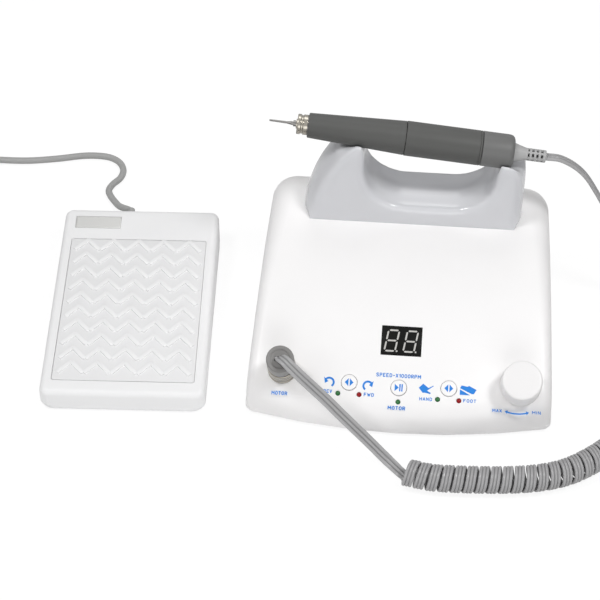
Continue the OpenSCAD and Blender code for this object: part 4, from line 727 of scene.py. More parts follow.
def cut(obj, tool):
    """Cuts a mesh out of an object."""
    cutter = show("cutter", tool)
    change = obj.modifiers.new("cut", "BOOLEAN")
    change.operation = "DIFFERENCE"
    change.solver = "EXACT"
    change.object = cutter
    settle(obj)
    bpy.data.objects.remove(cutter)


def add_wall(obj, thickness):
    """Gives a skin a wall, inwards."""
    wall = obj.modifiers.new("wall", "SOLIDIFY")
    wall.thickness = thickness
    wall.offset = -1
    settle(obj)


def cad_copy(node):
    """Mesh of a CAD part, with its points joined."""
    bm = bmesh.new()
    bm.from_mesh(frame["nodes"][node].data)
    merge(bm)
    return bm


def trimmed(node, edge):
    """Copy of a plain CAD part with its sharp edges taken off, in its place."""
    bm = cad_copy(node)
    bmesh.ops.dissolve_limit(bm, angle_limit=math.radians(FLAT_ANGLE), verts=bm.verts[:], edges=bm.edges[:])
    obj = show(f"{node}_form", bm)
    trim = obj.modifiers.new("edges", "BEVEL")
    trim.width = edge
    trim.segments = 2
    trim.limit_method = "ANGLE"
    trim.angle_limit = math.radians(TRIM_ANGLE)
    settle(obj)
    return dress(obj, SLOT_OF[node], frame["nodes"][node]["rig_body"], (node,), sharp=TRIM_ANGLE)


def axes(place, out, side):
    """Matrix at a place whose z runs along out and whose x is nearest to side."""
    z = Vector(out).normalized()
    x = (Vector(side) - z*z.dot(Vector(side))).normalized()
    return Matrix.Translation(place) @ Matrix((x, z.cross(x), z)).transposed().to_4x4()


# The control unit's curved panel

def panel_arc(unit):
    """Depth and height of the middle of the panel's arc."""
    rise = math.sin(unit.front_slope)
    depth = unit.front_radius*(1 - rise) + unit.panel_radius*rise
    return depth, unit.lip_height + (unit.front_radius - unit.panel_radius)*math.cos(unit.front_slope)


def panel_height(unit, y):
    """Height of the panel at a distance from the front."""
    depth, height = panel_arc(unit)
    return height + math.sqrt(unit.panel_radius**2 - (depth - y)**2)


def panel_tilt(unit, y):
    """Slope of the panel at a distance from the front."""
    return math.asin((panel_arc(unit)[0] - y)/unit.panel_radius)


def on_panel(x, y, tilt=None):
    """Frame on the panel, with z outwards and x to the right."""
    unit = bpy.context.scene.drill_unit
    lean = panel_tilt(unit, y) if tilt is None else tilt
    out = (0, -math.sin(lean), math.cos(lean))
    return axes(UNIT + Vector((x, y, panel_height(unit, y))), out, ALONG_X)


def bow(unit, x):
    """How far the front lies back at a distance from the middle."""
    return unit.bow_radius - math.sqrt(unit.bow_radius**2 - x*x)


def half_width(unit, y, z):
    """Half the housing's width at a depth and height."""
    return unit.width/2 - (unit.width - unit.back_width)/2*y/unit.depth - z*math.tan(unit.side_draft)


def section(unit, kind, share, shift):
    """Depth, height, outward angle and rounding of the housing at a share of one of its stretches."""
    depth, height = panel_arc(unit)
    inner = unit.panel_radius - unit.front_radius
    reach = depth - unit.front_radius - shift
    roll_height = height + math.sqrt(inner**2 - reach**2)
    roll_angle = math.asin(reach/inner)
    back_reach = unit.panel_radius - unit.back_radius
    back_angle = math.asin((depth - unit.depth + unit.back_radius)/back_reach)
    back_height = height + back_reach*math.cos(back_angle)
    if kind == "front":
        low = unit.parting
        return unit.edge_radius + shift, low + (roll_height - low)*share, math.pi/2, unit.edge_radius
    if kind == "roll":
        turn = math.pi/2 + (roll_angle - math.pi/2)*share
        arm = unit.front_radius - unit.edge_radius
        return (unit.front_radius + shift - arm*math.sin(turn), roll_height + arm*math.cos(turn),
                turn, unit.edge_radius)
    if kind == "panel":
        turn = roll_angle + (back_angle - roll_angle)*share
        radius = unit.edge_radius + (unit.back_radius - unit.edge_radius)*share**2
        arm = unit.panel_radius - radius
        return depth - arm*math.sin(turn), height + arm*math.cos(turn), turn, radius
    if kind == "back_roll":
        turn = back_angle - (back_angle + math.pi/2)*share
        return unit.depth - unit.back_radius, back_height, turn, unit.back_radius
    return (unit.depth - unit.back_radius, back_height + (unit.parting - back_height)*share,
            -math.pi/2, unit.back_radius)


SPAN_STEPS = 28
CORNER_STEPS = 8
STRETCHES = {"roll": 8, "panel": 16, "back_roll": 8, "back": 3}
STATIONS = [("front", 0.0), ("roll", 0.0)]
STATIONS += [(kind, k/steps) for kind, steps in STRETCHES.items() for k in range(1, steps + 1)]


def housing_point(unit, column, row):
    """Point of the housing's surface at a column across and a row from front to back."""
    across = min(max(column - CORNER_STEPS, 0), SPAN_STEPS)
    share = 2*across/SPAN_STEPS - 1
    over = max(CORNER_STEPS - column, column - CORNER_STEPS - SPAN_STEPS, 0)*math.pi/2/CORNER_STEPS
    front_x = share*(half_width(unit, unit.edge_radius, 0) - unit.edge_radius)
    kind, along = STATIONS[row]
    y, z, turn, radius = section(unit, kind, along, bow(unit, front_x))
    x = share*(half_width(unit, y, z) - radius) + math.copysign(radius*math.sin(over), share)
    out = radius*math.cos(over)
    return UNIT + Vector((x, y - out*math.sin(turn), z + out*math.cos(turn)))


def housing_skin(unit):
    """The housing's outside, open at the bottom."""
    bm = bmesh.new()
    columns = SPAN_STEPS + 2*CORNER_STEPS
    rows = len(STATIONS) - 1
    bmesh.ops.create_grid(bm, x_segments=columns, y_segments=rows, size=1)
    sides = {0: {}, columns: {}}
    for vert in bm.verts:
        column = round((vert.co.x + 1)/2*columns)
        row = round((vert.co.y + 1)/2*rows)
        vert.co = housing_point(unit, column, row)
        if column in sides:
            sides[column][row] = vert
    for side in sides.values():
        bm.faces.new([side[row] for row in sorted(side)])
    face_out(bm)
    return bm


BUTTONS = {"button_direction": (-1, "direction_button"), "button_start": (0, "start_button"),
           "button_mode": (1, "mode_button")}
LAMPS = {"green_leds": ("lamp_green", ((-0.037, 0.0112), (0.0, 0.0086), (0.024, 0.0112))),
         "red_leds": ("lamp_red", ((-0.024, 0.0112), (0.037, 0.0112)))}
KNOB_PLACE = (0.074, 0.021)
SOCKET_PLACE = (-0.072, 0.022)


def on_button(rank):
    """Frame of a push button."""
    sizes = bpy.context.scene.drill_controls
    x = rank*sizes.button_pitch
    return on_panel(x, sizes.button_row + bow(bpy.context.scene.drill_unit, x), sizes.board_tilt)


def on_display():
    """Frame of the display's face."""
    sizes = bpy.context.scene.drill_controls
    return on_panel(0, sizes.display_row, sizes.board_tilt) @ Matrix.Translation((0, 0, -sizes.display_sink))


def round_tool(bm, matrix, radius, depth):
    """Adds a cylinder for cutting, as deep on both sides of a frame."""
    bmesh.ops.create_cone(bm, cap_ends=True, segments=64, radius1=radius, radius2=radius, depth=2*depth,
                          matrix=matrix)


class DRILL_OT_housing(bpy.types.Operator):
    """Builds the upper housing, with its openings"""
    bl_idname = "drill.housing"
    bl_label = "Housing"

    def execute(self, context):
        unit = context.scene.drill_unit
        sizes = context.scene.drill_controls
        shell = show("top_shell_skin", housing_skin(unit))
        add_wall(shell, unit.wall)
        tool = bmesh.new()
        through = 3*unit.wall
        for rank, _ in BUTTONS.values():
            round_tool(tool, on_button(rank), sizes.button_radius + sizes.gap, through)
        for _, places in LAMPS.values():
            for place in places:
                round_tool(tool, on_panel(*place), sizes.lamp_radius + sizes.gap/3, through)
        round_tool(tool, on_panel(*KNOB_PLACE), sizes.knob_radius/3, through)
        round_tool(tool, on_panel(*SOCKET_PLACE), sizes.neck_radius, through)
        window = bmesh.new()
        block(window, (sizes.display_width, sizes.display_length, 4*through))
        join(tool, window, on_display())
        rear = bmesh.new()
        block(rear, (unit.rear_width, 4*unit.wall, unit.rear_height))
        join(tool, rear, Matrix.Translation(UNIT + Vector((0, unit.depth - unit.wall/2, unit.rear_middle))))
        cut(shell, tool)
        dress(shell, "white_plastic", ROOT, ("top_shell",))
        return {"FINISHED"}


class DRILL_OT_cradle(bpy.types.Operator):
    """Softens the cradle's edges"""
    bl_idname = "drill.cradle"
    bl_label = "Cradle"

    def execute(self, context):
        unit = context.scene.drill_unit
        cradle = show("cradle_form", cad_copy("cradle"))
        cells = cradle.modifiers.new("cells", "REMESH")
        cells.mode = "VOXEL"
        cells.voxel_size = unit.soft_edge
        settle(cradle)
        free = cradle.vertex_groups.new(name="free")
        for vert in cradle.data.vertices:
            over = vert.co.z - panel_height(unit, min(vert.co.y - UNIT.y, unit.depth))
            free.add([vert.index], min(max(over/unit.crisp_height, 0), 1), "REPLACE")
        soft = cradle.modifiers.new("soft", "SMOOTH")
        soft.factor = 0.5
        soft.iterations = unit.softness
        soft.vertex_group = "free"
        settle(cradle)
        dress(cradle, "cradle_plastic", ROOT, ("cradle",), sharp=80)
        return {"FINISHED"}


# Controls on the panel

# Each word, its place and its size, in millimetres
WORDS = (("MOTOR", -72.8, 9.4, 9.7, 2.4), ("REV", -43.2, 12.0, 5.2, 2.3), ("FWD", -18.0, 11.4, 6.3, 2.3),
         ("SPEED-X1000RPM", -0.5, 22.5, 27.4, 2.5), ("MOTOR", -0.7, 5.4, 10.7, 2.4),
         ("HAND", 16.8, 11.0, 7.85, 2.2), ("FOOT", 43.6, 11.4, 8.0, 2.2), ("MAX", 60.5, 7.3, 5.8, 2.0),
         ("MIN", 84.3, 7.4, 5.3, 2.0))
HAND_SIGN = ((-4.9, 0.3), (-2.3, 3.0), (-1.0, 2.1), (1.0, 0.5), (3.9, 2.1), (4.1, 1.7), (0.2, -1.3),
             (2.6, -2.5), (2.3, -3.3), (-0.9, -2.6), (-2.4, -2.7))
SHOE_TOP = ((-5.0, 1.0), (-4.1, 2.8), (-0.6, 2.2), (0.6, 2.7), (5.1, 0.5), (3.6, -2.3), (2.2, -2.2))
SHOE_SOLE = ((-5.0, 0.3), (-5.0, -3.1), (1.4, -3.1))

# The lines of each letter, on a grid of its own
ROUND_LETTER = ((1.2, 0), (0, 1.4), (0, 4.6), (1.2, 6), (2.8, 6), (4, 4.6), (4, 1.4), (2.8, 0), (1.2, 0))
BOWL = ((0, 0), (0, 6), (3, 6), (4, 5.2), (4, 3.6), (3, 2.8), (0, 2.8))
LETTERS = {
    "A": (((0, 0), (2, 6), (4, 0)), ((0.7, 2), (3.3, 2))),
    "D": (((0, 0), (0, 6), (2.6, 6), (4, 4.6), (4, 1.4), (2.6, 0), (0, 0)),),
    "E": (((4, 6), (0, 6), (0, 0), (4, 0)), ((0, 3), (3.4, 3))),
    "F": (((4, 6), (0, 6), (0, 0)), ((0, 3), (3.4, 3))),
    "H": (((0, 0), (0, 6)), ((4, 0), (4, 6)), ((0, 3), (4, 3))),
    "I": (((0, 0), (0, 6)),),
    "M": (((0, 0), (0, 6), (2.6, 2.4), (5.2, 6), (5.2, 0)),),
    "N": (((0, 0), (0, 6), (4, 0), (4, 6)),),
    "O": (ROUND_LETTER,),
    "P": (BOWL,),
    "R": (BOWL, ((2, 2.8), (4, 0))),
    "S": (((4, 5), (3, 6), (1, 6), (0, 5), (0, 4), (1, 3.2), (3, 2.8), (4, 2), (4, 1), (3, 0), (1, 0),
           (0, 1)),),
    "T": (((0, 6), (4, 6)), ((2, 6), (2, 0))),
    "V": (((0, 6), (2, 0), (4, 6)),),
    "W": (((0, 6), (1.2, 0), (2.5, 4.4), (3.8, 0), (5, 6)),),
    "X": (((0, 0), (4, 6)), ((0, 6), (4, 0))),
    "0": (ROUND_LETTER,),
    "1": (((0.4, 4.8), (1.8, 6), (1.8, 0)),),
    "-": (((0.4, 3), (3, 3)),),
}
LETTER_HEIGHT = 6
LETTER_GAP = 2.9
STROKE_LEVELS = 4
STROKE_STEP = 0.000003


def stroke(bm, start, end, width):
    """Adds a pointed stroke of a digit or letter."""
    a = Vector(start)
    b = Vector(end)
    along = (b - a).normalized()*width/2
    side = Vector((-along.y, along.x))
    return patch(bm, [a, a + along - side, b - along - side, b, b - along + side, a + along + side])


def letters(text, width, height, weight):
    """Strokes of a word in plain capitals, fitted to a size; strokes that cross differ in level."""
    thick = weight*height
    lines = []
    pen = 0
    for letter in text:
        lines += [[Vector((pen + x, y)) for x, y in line] for line in LETTERS[letter]]
        pen += max(x for line in LETTERS[letter] for x, y in line) + LETTER_GAP
    reach = Vector((pen - LETTER_GAP, LETTER_HEIGHT))
    scale = Vector(((width - thick)/reach.x, (height - thick)/reach.y))
    bm = bmesh.new()
    for line in lines:
        points = [(point - reach/2)*scale for point in line]
        for a, b in zip(points, points[1:]):
            along = (b - a).normalized()*thick/2
            level = len(bm.faces) % STROKE_LEVELS
            for vert in stroke(bm, a - along, b + along, thick).verts:
                vert.co.z = level*STROKE_STEP
    return bm


def band(bm, radius, width, start, sweep):
    """Adds a flat bent band round the origin."""
    first = [bm.verts.new((arm*math.cos(start), arm*math.sin(start), 0))
             for arm in (radius - width/2, radius + width/2)]
    edge = bm.edges.new(first)
    bmesh.ops.spin(bm, geom=first + [edge], cent=(0, 0, 0), axis=(0, 0, 1), angle=sweep, steps=20)


HEAD_LENGTH = 1.5
TURN_START = 145
TURN_SWEEP = 190
RANGE_HALF = 15


def head(bm, radius, turn, sense, size):
    """Adds an arrow head at an angle on a ring, pointing along the turn."""
    tip = turn + sense*HEAD_LENGTH*size/radius
    patch(bm, [((radius + size)*math.cos(turn), (radius + size)*math.sin(turn)),
               (radius*math.cos(tip), radius*math.sin(tip)),
               ((radius - size)*math.cos(turn), (radius - size)*math.sin(turn))])


def turn_sign(sense):
    """Round arrow, to the left for 1 and to the right for -1."""
    bm = bmesh.new()
    radius = 0.00275
    width = 0.00125
    head_size = 0.0019
    start = math.radians(90 - sense*TURN_START)
    sweep = sense*math.radians(TURN_SWEEP)
    band(bm, radius, width, start, sweep)
    head(bm, radius, start + sweep, sense, head_size)
    return bm


def range_sign():
    """Bent line with two heads."""
    bm = bmesh.new()
    radius = 0.022
    width = 0.0009
    head_size = 0.0012
    half = math.radians(RANGE_HALF)
    band(bm, radius, width, -math.pi/2 - half, 2*half)
    for sense in (-1, 1):
        head(bm, radius, -math.pi/2 + sense*half, sense, head_size)
    bmesh.ops.translate(bm, verts=bm.verts[:], vec=(0, radius, 0))
    return bm


def outline_sign(*outlines):
    """Flat sign of outlines in millimetres."""
    bm = bmesh.new()
    for outline in outlines:
        patch(bm, [(x*MM, y*MM) for x, y in outline])
    return bm


# Each sign, how it is made and its place, in millimetres
SIGNS = ((turn_sign, (1,), -42.7, 16.8), (turn_sign, (-1,), -18.9, 16.0),
         (outline_sign, (HAND_SIGN,), 17.1, 16.5), (outline_sign, (SHOE_TOP, SHOE_SOLE), 42.3, 17.0),
         (range_sign, (), 72.5, 6.2))


class DRILL_OT_print(bpy.types.Operator):
    """Prints the words and signs on the panel"""
    bl_idname = "drill.print"
    bl_label = "Print"

    def execute(self, context):
        sizes = context.scene.drill_controls
        marks = [(letters(word, wide*MM, tall*MM, sizes.letter_stroke), x*MM, y*MM)
                 for word, x, y, wide, tall in WORDS]
        marks += [(make(*values), x*MM, y*MM) for make, values, x, y in SIGNS]
        sheet = bmesh.new()
        for bm, x, y in marks:
            thicken(bm, sizes.print_thickness)
            join(sheet, bm, on_panel(x, y))
        piece("panel_print", sheet, "print", ROOT)
        return {"FINISHED"}


LEFT_MARK = ((-2.7, 0), (-0.4, 2.5), (-0.4, -2.5))
RIGHT_MARK = ((2.7, 0), (0.4, -2.5), (0.4, 2.5))
PLAY_MARK = ((-2.5, 2.3), (-2.5, -2.3), (0, 0))
PAUSE_MARKS = (((0.3, 2.3), (0.3, -2.3), (1.1, -2.3), (1.1, 2.3)),
               ((1.6, 2.3), (1.6, -2.3), (2.4, -2.3), (2.4, 2.3)))


class DRILL_OT_buttons(bpy.types.Operator):
    """Builds the push buttons and their signs"""
    bl_idname = "drill.buttons"
    bl_label = "Buttons"

    def execute(self, context):
        sizes = context.scene.drill_controls
        radius = sizes.button_radius
        top = sizes.button_proud
        low = -sizes.button_depth
        edge = 0.0005
        for node, (rank, body) in BUTTONS.items():
            form = lathe([(0, low), (radius, low), (radius, top, edge), (0, top)])
            piece(f"{node}_cap", form, "white_plastic", body, on_button(rank), (node,))
            sign = outline_sign(PLAY_MARK, *PAUSE_MARKS) if rank == 0 else outline_sign(LEFT_MARK, RIGHT_MARK)
            thicken(sign, sizes.print_thickness)
            piece(f"{node}_sign", sign, "print", body, on_button(rank) @ Matrix.Translation((0, 0, top)))
        return {"FINISHED"}


class DRILL_OT_lamps(bpy.types.Operator):
    """Builds the lamps"""
    bl_idname = "drill.lamps"
    bl_label = "Lamps"

    def execute(self, context):
        sizes = context.scene.drill_controls
        radius = sizes.lamp_radius
        top = sizes.lamp_proud
        low = -3*radius
        curve = 0.8*radius
        for node, (slot, places) in LAMPS.items():
            lamps = bmesh.new()
            for place in places:
                dome = lathe([(0, low), (radius, low), (radius, top, curve), (0, top)], SMALL_STEPS)
                join(lamps, dome, on_panel(*place))
            piece(f"{node}_domes", lamps, slot, ROOT, stands_for=(node,))
        return {"FINISHED"}


DIGIT_PLACES = (-0.0060, 0.0056)
DIGIT_LEAN = 9
DIGIT_STROKES = ((0, 1), (2, 3), (4, 5), (0, 2), (1, 3), (2, 4), (3, 5))
DOT_SIDES = 12


class DRILL_OT_display(bpy.types.Operator):
    """Builds the display's digits"""
    bl_idname = "drill.display"
    bl_label = "Display"

    def execute(self, context):
        sizes = context.scene.drill_controls
        wide = sizes.digit_width/2
        tall = sizes.digit_height/2
        inset = 0.08*sizes.digit_width
        dot_out = 1.1*sizes.segment
        dot_radius = 0.55*sizes.segment
        spots = [Vector((x, y)) for y in (tall, 0, -tall) for x in (-wide, wide)]
        turns = [k*FULL_TURN/DOT_SIDES for k in range(DOT_SIDES)]
        bm = bmesh.new()
        for place in DIGIT_PLACES:
            middle = Vector((place, 0))
            for a, b in DIGIT_STROKES:
                gap = (spots[b] - spots[a]).normalized()*inset
                stroke(bm, spots[a] + gap + middle, spots[b] - gap + middle, sizes.segment)
            dot = Vector((place + wide + dot_out, -tall))
            patch(bm, [dot + Vector((math.cos(turn), math.sin(turn)))*dot_radius for turn in turns])
        for vert in bm.verts:
            vert.co.x += vert.co.y*math.tan(math.radians(DIGIT_LEAN))
        thicken(bm, sizes.print_thickness)
        piece("display_segments", bm, "segment", ROOT, on_display())
        return {"FINISHED"}


class DRILL_OT_knob(bpy.types.Operator):
    """Builds the speed knob"""
    bl_idname = "drill.knob"
    bl_label = "Knob"

    def execute(self, context):
        sizes = context.scene.drill_controls
        foot = sizes.knob_gap
        top = foot + sizes.knob_height
        rim = sizes.knob_radius - sizes.knob_taper
        dip = 0.0001
        form = lathe([(0, foot), (sizes.knob_radius, foot, SOFT_EDGE), (rim, top, sizes.knob_edge),
                      (0.6*rim, top - dip), (0, top - 2*dip)], ROUND_STEPS)
        # The knob's finish is the white plastic darkened as painted shade; its slot stays the white plastic
        knob = piece("speed_knob_form", form, "knob_plastic", "knob", on_panel(*KNOB_PLACE), ("speed_knob",))
        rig.slot(knob, "white_plastic")
        return {"FINISHED"}


PLUG_PIECES = []


class DRILL_OT_plug(bpy.types.Operator):
    """Builds the plug of the handpiece's cord and its coupling ring"""
    bl_idname = "drill.plug"
    bl_label = "Plug"

    def execute(self, context):
        sizes = context.scene.drill_controls
        place = on_panel(*SOCKET_PLACE)
        low = sizes.flange_height
        ring = low + sizes.ring_height
        neck = ring + sizes.neck_height
        self.build_ring(sizes, place, low, ring, neck)
        self.build_body(sizes, context.scene.drill_cords, place, neck)
        return {"FINISHED"}

    def build_ring(self, sizes, place, low, ring, neck):
        """The ring's hoops, and a black stem that shows between them and under the plug's body as painted shade."""
        outer = sizes.ring_radius
        inner = sizes.neck_radius
        sunk = outer - FINE_EDGE
        thin = inner - 0.0001
        groove = 0.0012
        first = low + 0.14*sizes.ring_height
        second = low + 0.55*sizes.ring_height
        third = low + 0.62*sizes.ring_height
        coupling = bmesh.new()
        for start, end in ((low, first), (first + groove, second), (third, ring)):
            hoop = lathe([(inner, start), (sunk, start, FINE_EDGE), (outer, start + SOFT_EDGE, FINE_EDGE),
                          (outer, end - 2*FINE_EDGE, SOFT_EDGE), (outer - SOFT_EDGE, end, FINE_EDGE),
                          (inner, end)], HOOP_STEPS)
            join(coupling, hoop)
        ring_piece = piece("coupling_ring", coupling, "nickel", ROOT, place, ("plug_ring",))
        # The stem is black and fills the gaps between the hoops almost flush: painted shade in the ring's grooves and
        # under the plug's body
        corners = [(0, low), (thin, low)]
        for start, end in ((first, first + groove), (second, third)):
            corners += [(thin, start), (sunk, start), (sunk, end), (thin, end)]
        black_shade_stem = lathe([*corners, (thin, neck), (0, neck)])
        PLUG_PIECES.extend([ring_piece, piece("plug_stem", black_shade_stem, "black_plastic", ROOT, place)])

    def build_body(self, sizes, cords, place, neck):
        """The plug's body, with a dished top and a slot for the cord."""
        top = neck + sizes.plug_height
        outer = sizes.plug_radius
        dish = 0.72*outer
        floor = top - 0.0005
        form = lathe([(0, neck), (outer, neck, SOFT_EDGE), (outer, top, sizes.plug_edge),
                      (dish, top, SOFT_EDGE), (dish - 2*FINE_EDGE, floor, FINE_EDGE), (0, floor)], HOOP_STEPS)
        body = show("plug_body", form, place)
        slot = bmesh.new()
        slot_size = (1.14*cords.ribbon_width, 3*cords.strand, 0.006)
        slot_edge = 0.0008
        block(slot, slot_size, edge=slot_edge)
        slot.transform(place @ Matrix.Translation((0, 0, top)))
        cut(body, slot)
        dress(body, "plug_plastic", ROOT, ("motor_plug",))
        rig.slot(body, "cord_jacket")
        PLUG_PIECES.append(body)


# Handpiece

HAND_FRONT = Vector((-0.0653, 0.131, 0.135292))


def on_hand():
    """Frame of the handpiece, with z from its bit to its cord."""
    tilt = bpy.context.scene.drill_hand.tilt
    return axes(UNIT + HAND_FRONT, (math.cos(tilt), 0, -math.sin(tilt)), UP)


class DRILL_OT_handpiece(bpy.types.Operator):
    """Builds the outside of the handpiece"""
    bl_idname = "drill.handpiece"
    bl_label = "Handpiece"

    def execute(self, context):
        sizes = context.scene.drill_hand
        place = on_hand()
        edge = sizes.seam_edge
        nose_edge = 0.0009
        shoulder = 0.0018
        end = sizes.grip_length
        grip = lathe([(sizes.grip_bore, 0), (sizes.grip_front, 0, nose_edge), (sizes.grip_back, end, edge),
                      (sizes.grip_bore + shoulder, end)], ROUND_STEPS)
        piece("grip_sleeve", grip, "handpiece_plastic", "grip", place, ("handpiece_grip",))
        start = end + sizes.seam
        end = start + sizes.motor_length
        outer = sizes.motor_radius
        bore = 0.8*outer
        line = 0.0003
        motor = lathe([(bore, start), (outer, start, edge), (outer, end - 5*line, line/2),
                       (outer - line, end - 4.5*line, line/3), (outer - line, end - 4*line, line/3),
                       (outer, end - 3.5*line, line/2), (outer, end, edge), (bore, end)], ROUND_STEPS)
        piece("motor_sleeve", motor, "handpiece_plastic", "handpiece", place, ("motor_housing",))
        start = end + sizes.seam
        end = start + sizes.cap_length
        cap = lathe([(0, start), (outer, start, edge), (outer, end, sizes.cap_edge), (0, end)], ROUND_STEPS)
        piece("rear_cap_form", cap, "cap_plastic", "handpiece", place, ("rear_cap",))
        self.build_boot(sizes, place, end)
        self.build_nose(sizes, place)
        return {"FINISHED"}

    def build_nose(self, sizes, place):
        """The grooved ring in front of the grip, and the bit."""
        front = -sizes.seam
        back = front - sizes.nose_length
        outer = sizes.nose_radius
        inner = sizes.spindle_radius + FINE_EDGE
        groove = outer - 2*FINE_EDGE
        thin_edge = 0.0002
        end_edge = 0.0007
        steps = [(radius, front - share*sizes.nose_length, thin_edge)
                 for radius, share in ((outer, 0.4), (groove, 0.46), (groove, 0.6), (outer, 0.66))]
        ring = lathe([(inner, front), (outer, front, FINE_EDGE), *steps, (outer, back, end_edge),
                      (inner, back)], HOOP_STEPS)
        piece("nose_ring_form", ring, "nickel", "handpiece", place, ("nose_ring",))
        tip = -0.0240
        tip_radius = 0.0006
        neck = -0.0130
        shank = -0.0104
        bit = lathe([(0, tip, 0), (tip_radius, tip, FINE_EDGE), (sizes.bit_radius, neck, SOFT_EDGE),
                     (sizes.shank_radius, shank, FINE_EDGE), (sizes.shank_radius, 0), (0, 0)], SMALL_STEPS)
        piece("drill_bit_form", bit, "steel", "rotating_set", place, ("drill_bit",))

    def build_boot(self, sizes, place, start):
        """The cord's boot, with rows of slots between ribs, and a black sleeve in the slots as painted shade."""
        tip = start + sizes.boot_length
        cone = start + sizes.boot_cone
        outer = sizes.boot_end
        inner = sizes.boot_core
        slot_edge = 0.0001
        cone_edge = 0.001
        tip_edge = 0.0006
        corners = [(0, start), (sizes.boot_base, start, FINE_EDGE), (outer, cone, cone_edge)]
        rib_size = (outer - 0.0005, 0.0013, sizes.boot_slot + 0.0004)
        rib_start = 0.0004
        rows = 4
        sides = 6
        ribs = bmesh.new()
        for k in range(rows):
            low = cone + sizes.boot_slot*(0.5 + 2*k)
            high = low + sizes.boot_slot
            corners += [(outer, low, slot_edge), (inner, low), (inner, high), (outer, high, slot_edge)]
            for side in range(sides):
                rib = bmesh.new()
                block(rib, rib_size, (rib_size[0]/2 + rib_start, 0, (low + high)/2))
                join(ribs, rib, Matrix.Rotation((side + 0.5)*FULL_TURN/sides, 4, "Z"))
        boot = lathe([*corners, (outer, tip, tip_edge), (0, tip)])
        join(boot, ribs)
        # Painted shade: a black sleeve just over the slots' floor makes the slots read dark
        slot_shade_radius = inner + 0.0001
        slot_shade_end = tip - 0.0008
        core = lathe([(0, cone), (slot_shade_radius, cone), (slot_shade_radius, slot_shade_end), (0, slot_shade_end)], steps=48)
        piece("boot_core_form", core, "black_rubber", "handpiece", place)
        piece("cord_boot_form", boot, "boot_rubber", "handpiece", place, ("cord_boot",))


# Foot pedal

def on_pedal():
    """Frame of the pedal, with its front edge at y 0."""
    sizes = bpy.context.scene.drill_pedal
    return (Matrix.Translation(PEDAL_MIDDLE) @ Matrix.Rotation(sizes.yaw, 4, "Z")
            @ Matrix.Translation((0, -sizes.depth/2, 0)))


def pedal_top(sizes, y):
    """Height of the pedal's top."""
    return sizes.front_height + (sizes.back_height - sizes.front_height)*y/sizes.depth


def on_tread(x, y):
    """Frame on the pedal's sloping top."""
    sizes = bpy.context.scene.drill_pedal
    slope = math.atan((sizes.back_height - sizes.front_height)/sizes.depth)
    return on_pedal() @ Matrix.Translation((x, y, pedal_top(sizes, y))) @ Matrix.Rotation(slope, 4, "X")


